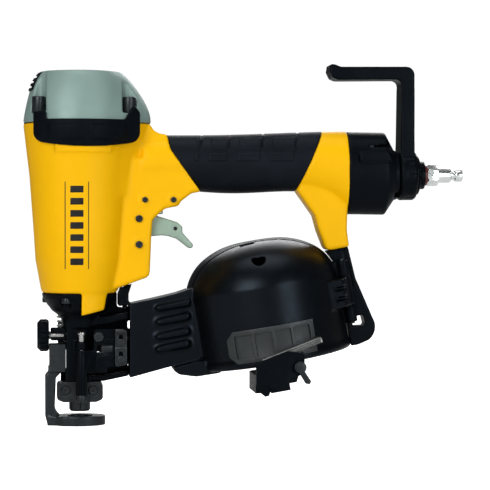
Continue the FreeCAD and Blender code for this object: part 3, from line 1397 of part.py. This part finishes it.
plug_hex = prism(
    "plug_hex", "XY",
    [(8.1 * math.cos(math.radians(60 * i)), 8.1 * math.sin(math.radians(60 * i))) for i in range(6)], 0, 8.3,
    at=(261.7, 0, D.inlet_z), turn=ALONG_X,
)
plug_hex_round = turned(
    "plug_hex_round", [(0, 0), (7.2, 0), (8, 0.9), (8, 7.4), (7.2, 8.3), (0, 8.3)], (261.7, 0, D.inlet_z),
    ALONG_X
)
plug_tube = turned(
    "plug_tube",
    [(2.6, 0), (5.4, 0), (5.4, 20.3), (6.3, 22), (5.5, 28), (5.5, 39.5), (4.7, 40.3), (3.4, 41.5),
     (3.4, 43.2), (4.5, 44.2),
     (4.7, 45), (4.7, 49), (4.3, 49.4), (2.6, 49.4)],
    (239.4, 0, D.inlet_z), ALONG_X,
)
node(fuse("plug_solid", cut("plug_nut", common("plug_flats", plug_hex, plug_hex_round),
     cylinder("plug_nut_bore", 3, 30, (255, 0, D.inlet_z), ALONG_X)), plug_tube), "air_plug")


# ---------------------------------------------------------------- checks and files
DOC.recompute()
for obj in DOC.Objects:
    if "Invalid" in obj.State or "Error" in obj.State:
        raise ValueError(f"{obj.Name}: {obj.State}")
os.makedirs("parts", exist_ok=True)
for obj in NODES:
    if obj.Shape.isNull() or not obj.Shape.isValid() or obj.Shape.Volume <= 0:
        raise ValueError(f"{obj.Label}: no valid shape")
    obj.Shape.exportStep(f"parts/{obj.Label}.step")
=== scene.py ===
import json
import math

import bpy
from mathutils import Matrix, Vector
from mathutils.bvhtree import BVHTree


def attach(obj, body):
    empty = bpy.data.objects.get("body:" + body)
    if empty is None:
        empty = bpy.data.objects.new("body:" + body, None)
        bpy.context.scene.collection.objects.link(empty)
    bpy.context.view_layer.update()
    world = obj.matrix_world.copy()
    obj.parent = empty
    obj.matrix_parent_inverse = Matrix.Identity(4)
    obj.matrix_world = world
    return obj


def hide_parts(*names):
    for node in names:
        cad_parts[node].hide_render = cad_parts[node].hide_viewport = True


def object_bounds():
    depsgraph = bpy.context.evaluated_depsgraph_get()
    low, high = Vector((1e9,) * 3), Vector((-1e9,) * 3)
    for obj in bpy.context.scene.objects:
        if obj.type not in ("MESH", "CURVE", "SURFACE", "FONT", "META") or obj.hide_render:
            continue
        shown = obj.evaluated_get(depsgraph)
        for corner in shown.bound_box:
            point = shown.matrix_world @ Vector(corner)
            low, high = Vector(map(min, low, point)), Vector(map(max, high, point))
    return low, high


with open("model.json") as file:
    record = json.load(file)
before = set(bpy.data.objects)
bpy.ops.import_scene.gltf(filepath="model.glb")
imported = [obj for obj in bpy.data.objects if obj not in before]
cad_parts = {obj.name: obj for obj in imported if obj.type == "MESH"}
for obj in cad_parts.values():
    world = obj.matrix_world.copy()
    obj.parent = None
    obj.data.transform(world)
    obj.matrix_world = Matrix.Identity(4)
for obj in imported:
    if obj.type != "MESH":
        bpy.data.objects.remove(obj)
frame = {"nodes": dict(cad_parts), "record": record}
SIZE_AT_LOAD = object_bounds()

MM = 0.001
SCENE = bpy.context.scene
NODES = frame["nodes"]
RECORD = frame["record"]
BODY_OF = {name: body for body, names in RECORD["behaviour"]["bodies"].items() for name in names}


# ---------------------------------------------------------------- materials
NOISE_SPAN = (0.3, 0.7)       # the part of a noise's range that most of it falls in
DUST_SPAN = (0.58, 0.75)      # fine noise: where dust starts, and where it is full
CHIP_SPAN = (0.45, 0.65)      # fine noise: where an edge starts to be rubbed bare, and where it is bare
EDGE_SPAN = (0.97, 0.8)       # cosine between the true and the rounded normal: flat face, sharp edge
EDGE_REACH = 0.8 * MM
GRAIN_DEPTH = 0.15 * MM
FINE_TIMES = 9                # the fine noise's scale over the broad one's
TONE_LIFT = 0.0005            # keeps a change of tone visible in the darkest blacks
DUST_KEEP, DUST_LIFT = 0.5, 0.11
SMOOTHEST = 0.02


def material(
    name, colour, roughness, metallic=0.0, spread=0.12, scale=60.0, rough_spread=0.1, bump=0.0,
    bump_scale=900.0, wear=0.0, wear_colour=(0.5, 0.5, 0.5), dust=0.0, anisotropic=0.0, specular=0.5,
    sheen=0.0, tint=(1, 1, 1),
):
    """A finish with slow colour change, uneven gloss, fine texture and worn edges, in object space."""
    mat = bpy.data.materials.new(name)
    mat.use_nodes = True
    tree = mat.node_tree
    links = tree.links
    tree.nodes.clear()
    out = tree.nodes.new("ShaderNodeOutputMaterial")
    shader = tree.nodes.new("ShaderNodeBsdfPrincipled")
    links.new(shader.outputs[0], out.inputs[0])
    shader.inputs["Metallic"].default_value = metallic
    shader.inputs["Anisotropic"].default_value = anisotropic
    shader.inputs["Specular IOR Level"].default_value = specular
    shader.inputs["Sheen Weight"].default_value = sheen
    shader.inputs["Specular Tint"].default_value = (*tint, 1)
    place = tree.nodes.new("ShaderNodeTexCoord")

    def noise(size, detail, rough=0.55):
        node = tree.nodes.new("ShaderNodeTexNoise")
        node.inputs["Scale"].default_value = size
        node.inputs["Detail"].default_value = detail
        node.inputs["Roughness"].default_value = rough
        links.new(place.outputs["Object"], node.inputs["Vector"])
        return node

    def ranged(socket, span, to_low, to_high):
        node = tree.nodes.new("ShaderNodeMapRange")
        for key, value in zip(("From Min", "From Max", "To Min", "To Max"), (*span, to_low, to_high)):
            node.inputs[key].default_value = value
        links.new(socket, node.inputs["Value"])
        return node.outputs[0]

    def mixed(factor, a, b):
        node = tree.nodes.new("ShaderNodeMix")
        node.data_type = "RGBA"
        links.new(factor, node.inputs[0])
        for socket, value in ((node.inputs[6], a), (node.inputs[7], b)):
            if isinstance(value, tuple):
                socket.default_value = (*value, 1)
            else:
                links.new(value, socket)
        return node.outputs[2]

    broad = noise(scale, 4)
    fine = noise(scale * FINE_TIMES, 6, 0.65)
    low = tuple(c * (1 - spread) for c in colour)
    high = tuple(min(1.0, c * (1 + spread) + TONE_LIFT) for c in colour)
    tone = mixed(ranged(broad.outputs["Fac"], NOISE_SPAN, 0, 1), low, high)
    if dust:
        speck = ranged(fine.outputs["Fac"], DUST_SPAN, 0, dust)
        tone = mixed(speck, tone, tuple(DUST_KEEP * c + DUST_LIFT for c in colour))
    if wear:
        soft = tree.nodes.new("ShaderNodeBevel")
        soft.samples = 4
        soft.inputs["Radius"].default_value = EDGE_REACH
        sharp = tree.nodes.new("ShaderNodeNewGeometry")
        dot = tree.nodes.new("ShaderNodeVectorMath")
        dot.operation = "DOT_PRODUCT"
        links.new(soft.outputs[0], dot.inputs[0])
        links.new(sharp.outputs["Normal"], dot.inputs[1])
        edge = ranged(dot.outputs["Value"], EDGE_SPAN, 0, 1)
        chips = ranged(fine.outputs["Fac"], CHIP_SPAN, 0, wear)
        both = tree.nodes.new("ShaderNodeMath")
        both.operation = "MULTIPLY"
        links.new(edge, both.inputs[0])
        links.new(chips, both.inputs[1])
        tone = mixed(both.outputs[0], tone, wear_colour)
    links.new(tone, shader.inputs["Base Color"])
    smoothest = max(SMOOTHEST, roughness - rough_spread)
    roughest = min(1.0, roughness + rough_spread)
    gloss = ranged(fine.outputs["Fac"], NOISE_SPAN, smoothest, roughest)
    links.new(gloss, shader.inputs["Roughness"])
    if bump:
        grain = noise(bump_scale, 3)
        lift = tree.nodes.new("ShaderNodeBump")
        lift.inputs["Strength"].default_value = bump
        lift.inputs["Distance"].default_value = GRAIN_DEPTH
        links.new(grain.outputs["Fac"], lift.inputs["Height"])
        links.new(lift.outputs[0], shader.inputs["Normal"])
    return mat


BLUE_SHEEN = (0.66, 0.82, 1.0)      # the cool reflections on the blacks
MATS = {
    "yellow": material(
        "yellow_paint", (0.86, 0.455, 0.0003), 0.42, spread=0.03, scale=24, rough_spread=0.05,
        bump=0.22, bump_scale=1400, wear=0.2, wear_colour=(0.66, 0.38, 0.02), specular=0.1,
    ),
    "cap": material(
        "grey_green_paint", (0.215, 0.305, 0.278), 0.5, metallic=0.2, spread=0.07, scale=30,
        rough_spread=0.06, bump=0.3, bump_scale=1500, wear=0.35, wear_colour=(0.42, 0.48, 0.46),
        specular=0.35,
    ),
    "trigger": material(
        "trigger_paint", (0.30, 0.405, 0.325), 0.38, metallic=0.1, spread=0.06, scale=50, bump=0.25,
        wear=0.4, wear_colour=(0.55, 0.6, 0.56), specular=0.35,
    ),
    "grip": material(
        "grip_rubber", (0.003, 0.004, 0.006), 0.5, spread=0.3, scale=45, rough_spread=0.09,
        bump=0.8, bump_scale=1300, dust=0.02, sheen=0.01, specular=0.13, tint=BLUE_SHEEN,
    ),
    "guard": material(
        "guard_rubber", (0.0016, 0.0024, 0.0036), 0.5, spread=0.3, scale=45, rough_spread=0.1,
        bump=0.6, bump_scale=1300, dust=0.015, specular=0.07, tint=BLUE_SHEEN,
    ),
    "plastic": material(
        "black_plastic", (0.0014, 0.002, 0.003), 0.42, spread=0.3, scale=40, rough_spread=0.08,
        bump=0.5, bump_scale=1600, wear=0.35, wear_colour=(0.03, 0.033, 0.037), specular=0.075,
        tint=BLUE_SHEEN,
    ),
    "gloss": material(
        "gloss_black", (0.001, 0.0015, 0.0024), 0.34, spread=0.3, scale=30, rough_spread=0.05,
        bump=0.25, bump_scale=1100, wear=0.3, wear_colour=(0.03, 0.035, 0.04), specular=0.17,
        tint=BLUE_SHEEN,
    ),
    "grey": material(
        "grey_plastic", (0.022, 0.026, 0.028), 0.42, spread=0.2, scale=60, bump=0.35, wear=0.45,
        wear_colour=(0.12, 0.13, 0.135), specular=0.35,
    ),
    "black_paint": material(
        "black_paint", (0.0014, 0.002, 0.0028), 0.4, spread=0.3, scale=55, rough_spread=0.09,
        bump=0.5, bump_scale=1300, wear=0.5, wear_colour=(0.06, 0.063, 0.068), specular=0.07,
        tint=BLUE_SHEEN,
    ),
    "dark_steel": material(
        "dark_steel", (0.02, 0.024, 0.027), 0.36, metallic=0.5, spread=0.28, scale=80,
        rough_spread=0.12, bump=0.35, bump_scale=1100, wear=0.6, wear_colour=(0.2, 0.2, 0.2),
        specular=0.35,
    ),
    "steel": material(
        "bright_steel", (0.5, 0.5, 0.49), 0.28, metallic=1.0, spread=0.1, scale=90,
        rough_spread=0.1, anisotropic=0.3, wear=0.4, wear_colour=(0.75, 0.75, 0.74),
    ),
    "rail": material(
        "rail_steel", (0.17, 0.175, 0.17), 0.34, metallic=0.9, spread=0.2, scale=110,
        rough_spread=0.12, bump=0.2, wear=0.7, wear_colour=(0.5, 0.5, 0.48),
    ),
    "chrome": material(
        "plug_chrome", (0.86, 0.89, 0.87), 0.24, metallic=1.0, spread=0.08, scale=90,
        rough_spread=0.08, bump=0.1, wear=0.3, wear_colour=(0.85, 0.85, 0.83),
    ),
    "aluminium": material(
        "aluminium", (0.6, 0.61, 0.62), 0.35, metallic=1.0, spread=0.06, scale=70,
        rough_spread=0.08, anisotropic=0.4,
    ),
    "rubber": material(
        "seal_rubber", (0.007, 0.007, 0.008), 0.6, spread=0.2, scale=70, bump=0.3, specular=0.2,
    ),
    "urethane": material("urethane", (0.2, 0.13, 0.03), 0.45, spread=0.12, scale=60, bump=0.2),
    "red": material(
        "red_plastic", (0.1, 0.006, 0.008), 0.4, spread=0.15, scale=80, bump=0.2, wear=0.3,
    ),
    "print": material(
        "black_print", (0.012, 0.011, 0.01), 0.5, spread=0.3, scale=300, bump=0.3, bump_scale=2400,
        dust=0.04, specular=0.2,
    ),
}

# node -> its finish
FINISH = {
    "housing": "yellow", "grip": "grip", "cap_gasket": "rubber", "cap": "cap",
    "cap_screws": "dark_steel", "cap_guards": "guard", "exhaust_deflector": "plastic",
    "cylinder_sleeve": "aluminium", "cylinder_seals": "rubber", "bumper": "urethane",
    "head_valve": "plastic", "head_valve_spring": "steel", "piston": "aluminium",
    "piston_ring": "rubber", "driver": "steel", "trigger_valve_body": "plastic",
    "valve_stem": "steel", "valve_spring": "steel", "trigger": "trigger",
    "trip_lever": "dark_steel", "trip_lever_pin": "dark_steel", "frame_pins": "dark_steel",
    "nose_body": "black_paint", "nose_screws": "dark_steel", "nose_tip": "dark_steel",
    "nose_door": "black_paint", "door_hinge_pin": "steel", "door_screws": "dark_steel",
    "check_pawl": "dark_steel", "check_pawl_pin": "steel", "door_latch": "dark_steel",
    "contact_foot": "dark_steel", "trip_arm": "dark_steel", "trip_spring": "steel",
    "depth_dial": "plastic", "dial_shaft": "steel", "feed_cylinder": "black_paint",
    "feed_cylinder_cap": "dark_steel", "feed_piston": "dark_steel", "feed_spring": "steel",
    "feed_pawl": "dark_steel", "feed_pawl_pin": "steel", "canister_base": "plastic",
    "canister_cover": "gloss", "canister_hinge_pin": "dark_steel", "platform_post": "plastic",
    "nail_platform": "plastic", "rear_bracket": "black_paint", "strip_channel": "black_paint",
    "guide_frame": "grey", "guide_rail": "rail", "shingle_guide": "black_paint",
    "guide_lever": "dark_steel", "guide_screw": "dark_steel", "handle_cap": "plastic",
    "handle_cap_screws": "dark_steel", "inlet_bushing": "black_paint", "inlet_ring": "red",
    "air_plug": "chrome", "rafter_hook": "black_paint",
}


def smooth_step(t):
    t = min(1.0, max(0.0, t))
    return t * t * (3 - 2 * t)


def modifier(obj, kind, name, **settings):
    added = obj.modifiers.new(name, kind)
    for key, value in settings.items():
        setattr(added, key, value)
    return added


def dress(obj, finish):
    obj.data.materials.clear()
    obj.data.materials.append(MATS[finish])
    for face in obj.data.polygons:
        face.use_smooth = True
        face.material_index = 0


# How far the machined nodes' edges are rounded, in mm, by finish.
ROUND = {"chrome": 0.3, "steel": 0.2, "dark_steel": 0.3}
USUAL_ROUND = 0.4
ROUND_STEPS = 3
SHARP_ANGLE = math.radians(32)
JOIN_GAP = 0.002 * MM         # vertices closer than this are one


def evaluated(obj):
    bpy.context.view_layer.update()
    graph = bpy.context.evaluated_depsgraph_get()
    return bpy.data.meshes.new_from_object(obj.evaluated_get(graph), depsgraph=graph)


def new_piece(name, mesh, body, finish):
    obj = bpy.data.objects.new(name, mesh)
    SCENE.collection.objects.link(obj)
    dress(obj, finish)
    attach(obj, body)
    return obj


# Cast and moulded pieces get the soft blends of the real ones: name -> (voxel in mm, smoothing passes).
CASTINGS = {
    "housing": (1.0, 8), "cap": (0.8, 7), "canister_cover": (0.8, 6), "canister_base": (0.9, 6),
    "strip_channel": (0.8, 5), "handle_cap": (0.8, 6), "rear_bracket": (0.8, 6), "nose_body": (0.7, 3),
    "grip": (0.7, 4), "cap_guards": (0.7, 5), "rafter_hook": (0.8, 6), "contact_foot": (0.6, 4),
    "trigger": (0.6, 4),
}
# Where two surfaces run softly into each other: name -> [(centre in mm, reach in mm, smoothing passes)].
MELTED = {
    "housing": [
        ((47, -20, 196), 13, 60), ((47, 20, 196), 13, 60),
        ((32, -17, 162), 13, 50), ((32, 17, 162), 13, 50),
    ],
    "canister_cover": [((69, -18, 60), 26, 80)],
}


SMOOTH_FACTOR = 0.5


def melt(obj, centre, reach, passes):
    """Blurs the shape inside a ball, fading out towards its edge."""
    group = obj.vertex_groups.new(name="melted")
    for vertex in obj.data.vertices:
        near = 1 - (vertex.co - centre).length / reach
        if near > 0:
            group.add([vertex.index], smooth_step(2 * near), "REPLACE")
    modifier(obj, "SMOOTH", "melted", factor=SMOOTH_FACTOR, iterations=passes, vertex_group=group.name)


CAST = {}
for name, (voxel, passes) in CASTINGS.items():
    rough = bpy.data.objects.new(name + "_rough", NODES[name].data.copy())
    SCENE.collection.objects.link(rough)
    modifier(rough, "WELD", "joined", merge_threshold=JOIN_GAP)
    modifier(rough, "REMESH", "even", mode="VOXEL", voxel_size=voxel * MM, use_smooth_shade=True)
    modifier(rough, "SMOOTH", "blended", factor=SMOOTH_FACTOR, iterations=passes)
    for place, reach, extra in MELTED.get(name, ()):
        mesh = evaluated(rough)
        rough.modifiers.clear()
        rough.data = mesh
        melt(rough, Vector(place) * MM, reach * MM, extra)
    mesh = evaluated(rough)
    bpy.data.objects.remove(rough)
    mesh.name = name + "_cast"
    CAST[name] = new_piece(name + "_cast", mesh, BODY_OF[name], FINISH[name])
    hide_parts(name)

for name, obj in NODES.items():
    dress(obj, FINISH[name])
    if name in CASTINGS:
        continue
    modifier(obj, "WELD", "joined", merge_threshold=JOIN_GAP)
    modifier(
        obj, "BEVEL", "softened", width=ROUND.get(FINISH[name], USUAL_ROUND) * MM, segments=ROUND_STEPS,
        limit_method="ANGLE", angle_limit=SHARP_ANGLE, harden_normals=True, use_clamp_overlap=True,
    )


# ---------------------------------------------------------------- raised pads and printed bars
PATCH_DEPTH = 0.5 * MM


def patch(name, on, spot, across, along, height, edge, finish, sink=0.25 * MM, step=0.6 * MM):
    """A raised patch on a piece. spot(a, b) gives the start and direction of a ray that finds the
    surface at a (0..across) and b (0..along), in metres. The patch starts at sink below the surface and
    rises to height over the width edge."""
    mesh = on.data
    tree = BVHTree.FromPolygons([v.co for v in mesh.vertices], [p.vertices for p in mesh.polygons])
    na, nb = max(3, round(across / step)), max(3, round(along / step))
    points, rows = [], []
    for i in range(na + 1):
        row = []
        for j in range(nb + 1):
            a, b = across * i / na, along * j / nb
            start, ray = spot(a, b)
            hit = tree.ray_cast(start, ray)[0]
            if hit is None:
                row.append(None)
                continue
            away = -ray.normalized()
            up = smooth_step(min(a, b, across - a, along - b) / edge)
            row.append(len(points))
            points.append(hit + away * (height * up - sink * (1 - up)))
        rows.append(row)
    faces = []
    for i in range(na):
        for j in range(nb):
            quad = (rows[i][j], rows[i + 1][j], rows[i + 1][j + 1], rows[i][j + 1])
            if None not in quad:
                faces.append(quad)
    mesh = bpy.data.meshes.new(name)
    mesh.from_pydata(points, [], faces)
    mesh.validate()
    source = on.name.removesuffix("_cast")
    piece = new_piece(name, mesh, BODY_OF[source], finish)
    modifier(piece, "SOLIDIFY", "depth", thickness=PATCH_DEPTH, offset=-1)


HANDLE_Z = 184.4 * MM
HANDLE_R = 20.5 * MM
HANDLE_CLEAR = 0.05           # rays start this far from the handle's centreline
SIDE_CLEAR = 0.1              # and this far from the tool's middle plane
SIDES = ((-1, "near"), (1, "far"))


def handle_spot(x0, side, lower):
    """Rays towards the handle's centreline; a runs along the handle and b climbs round it."""
    def spot(a, b):
        angle = lower + b / HANDLE_R
        away = Vector((0, side * math.cos(angle), math.sin(angle)))
        centre = Vector((x0 + a, 0, HANDLE_Z))
        return centre + away * HANDLE_CLEAR, -away
    return spot


PAD_SPANS = ((86, 90.6), (96.6, 111.6), (118, 136), (142.4, 161))      # along the handle, in mm
PAD_ROWS = (((2, 24), 2.2), ((30, 64), 0))      # degrees round the handle, and the row's shift in mm
PAD_HEIGHT = 0.55 * MM
PAD_EDGE = 1.1 * MM
for side, label in SIDES:
    for i, (start, stop) in enumerate(PAD_SPANS):
        for row, ((lower, upper), lean) in enumerate(PAD_ROWS):
            patch(
                f"grip_pad_{label}_{i}_{row}", CAST["grip"],
                handle_spot((start - lean) * MM, side, math.radians(lower)), (stop - start) * MM,
                math.radians(upper - lower) * HANDLE_R, PAD_HEIGHT, PAD_EDGE, "grip",
            )


def side_spot(x0, z0, side):
    """Rays straight in from one side; a runs along X and b runs up."""
    def spot(a, b):
        return Vector((x0 + a, side * SIDE_CLEAR, z0 + b)), Vector((0, -side, 0))
    return spot


# The low tab under each guard.
TAB_X, TAB_Z = -19 * MM, 190.9 * MM
TAB_LONG, TAB_TALL = 42 * MM, 11 * MM
TAB_HEIGHT, TAB_EDGE, TAB_SINK = 0.35 * MM, 0.5 * MM, 0.1 * MM
for side, label in SIDES:
    patch(
        f"side_tab_{label}", CAST["housing"], side_spot(TAB_X, TAB_Z, side), TAB_LONG, TAB_TALL,
        TAB_HEIGHT, TAB_EDGE, "yellow", sink=TAB_SINK,
    )

# A plain printed mark on each side: seven bars between two thin lines.
MARK_X, MARK_LOW, MARK_HIGH = -11.5, 106, 170
LINE_GAP = 17
LINE_WIDTH = 0.8 * MM
LINE_STEP = 0.4 * MM
BAR_IN_X, BAR_IN_Z, BAR_PITCH = 4, 3, 8.8
BAR_LONG, BAR_TALL = 9.8 * MM, 5.2 * MM
BARS = 7
PRINT_HEIGHT, PRINT_EDGE, PRINT_SINK = 0.08 * MM, 0.1 * MM, 0.02 * MM
for side, label in SIDES:
    for i, x in enumerate((MARK_X, MARK_X + LINE_GAP)):
        patch(
            f"mark_line_{label}_{i}", CAST["housing"], side_spot(x * MM, MARK_LOW * MM, side),
            LINE_WIDTH, (MARK_HIGH - MARK_LOW) * MM, PRINT_HEIGHT, PRINT_EDGE, "print",
            sink=PRINT_SINK, step=LINE_STEP,
        )
    for i in range(BARS):
        x, z = (MARK_X + BAR_IN_X) * MM, (MARK_LOW + BAR_IN_Z + BAR_PITCH * i) * MM
        patch(
            f"mark_bar_{label}_{i}", CAST["housing"], side_spot(x, z, side), BAR_LONG, BAR_TALL,
            PRINT_HEIGHT, PRINT_EDGE, "print", sink=PRINT_SINK,
        )


# ---------------------------------------------------------------- studio
def area(name, at, aim, size, power, colour=(1, 1, 1)):
    """A rectangular lamp at a place in metres, turned towards aim; power in watts."""
    lamp = bpy.data.lights.new(name, "AREA")
    lamp.shape = "RECTANGLE"
    lamp.size, lamp.size_y = size
    lamp.energy = power
    lamp.color = colour
    obj = bpy.data.objects.new(name, lamp)
    SCENE.collection.objects.link(obj)
    obj.location = at
    obj.rotation_euler = (Vector(aim) - Vector(at)).to_track_quat("-Z", "Y").to_euler()


area("key_light", (-0.75, -1.5, 0.75), (0.1, 0, 0.13), (0.9, 0.9), 20)
area("fill_light", (1.0, -1.5, 0.35), (0.12, 0, 0.12), (0.6, 1.0), 12, (0.93, 0.97, 1))
area("rim_light", (0.4, 1.4, 1.0), (0.1, 0, 0.12), (1.4, 0.7), 14)
area("top_light", (0.05, -0.1, 1.3), (0.1, 0, 0.1), (1.0, 0.7), 6)

WORLD_LIGHT = 0.1             # the sky that lights the tool
PAPER = 1.03                  # the white behind it
FLOOR_GLOW = 1.0              # lifts the floor to the same white
world = bpy.data.worlds.new("studio")
SCENE.world = world
world.use_nodes = True
sky = world.node_tree
sky.nodes["Background"].inputs[0].default_value = (0.95, 0.98, 1.0, 1)
sky.nodes["Background"].inputs[1].default_value = WORLD_LIGHT
paper = sky.nodes.new("ShaderNodeBackground")
paper.inputs[0].default_value = (1, 1, 1, 1)
paper.inputs[1].default_value = PAPER
seen = sky.nodes.new("ShaderNodeLightPath")
pick = sky.nodes.new("ShaderNodeMixShader")
sky.links.new(seen.outputs["Is Camera Ray"], pick.inputs[0])
sky.links.new(sky.nodes["Background"].outputs[0], pick.inputs[1])
sky.links.new(paper.outputs[0], pick.inputs[2])
sky.links.new(pick.outputs[0], sky.nodes["World Output"].inputs[0])
SCENE.view_settings.view_transform = "Standard"

floor_mesh = bpy.data.meshes.new("floor")
FLOOR_Z = SIZE_AT_LOAD[0].z
REACH = 60.0                  # half of the floor's side, in metres
floor_corners = [(x * REACH, y * REACH, FLOOR_Z) for x, y in ((-1, -1), (1, -1), (1, 1), (-1, 1))]
floor_mesh.from_pydata(floor_corners, [], [(0, 1, 2, 3)])
floor = bpy.data.objects.new("floor", floor_mesh)
SCENE.collection.objects.link(floor)
pale = material(
    "pale_floor", (0.8, 0.8, 0.8), 0.7, spread=0.01, scale=3, rough_spread=0.05, specular=0.0
)
floor_tree = pale.node_tree
floor_shader = next(n for n in floor_tree.nodes if n.type == "BSDF_PRINCIPLED")
floor_seen = floor_tree.nodes.new("ShaderNodeLightPath")
floor_lift = floor_tree.nodes.new("ShaderNodeMath")
floor_lift.operation = "MULTIPLY"
floor_lift.inputs[1].default_value = FLOOR_GLOW
floor_tree.links.new(floor_seen.outputs["Is Camera Ray"], floor_lift.inputs[0])
floor_tree.links.new(floor_lift.outputs[0], floor_shader.inputs["Emission Strength"])
floor_shader.inputs["Emission Color"].default_value = (1, 1, 1, 1)
floor.data.materials.append(pale)

# ---------------------------------------------------------------- camera
AIM = Vector((123.75 * MM, 0, 123 * MM))
VIEW_WIDTH = 367.5 * MM
DISTANCE = 1.5
AZIMUTH, ELEVATION = math.radians(-6), math.radians(1)
back = Vector((
    math.sin(AZIMUTH) * math.cos(ELEVATION),
    -math.cos(AZIMUTH) * math.cos(ELEVATION),
    math.sin(ELEVATION),
))
camera_data = bpy.data.cameras.new("camera")
camera_data.lens = camera_data.sensor_width * DISTANCE / VIEW_WIDTH
camera = bpy.data.objects.new("camera", camera_data)
SCENE.collection.objects.link(camera)
camera.location = AIM + back * DISTANCE
camera.rotation_euler = (-back).to_track_quat("-Z", "Y").to_euler()
SCENE.camera = camera
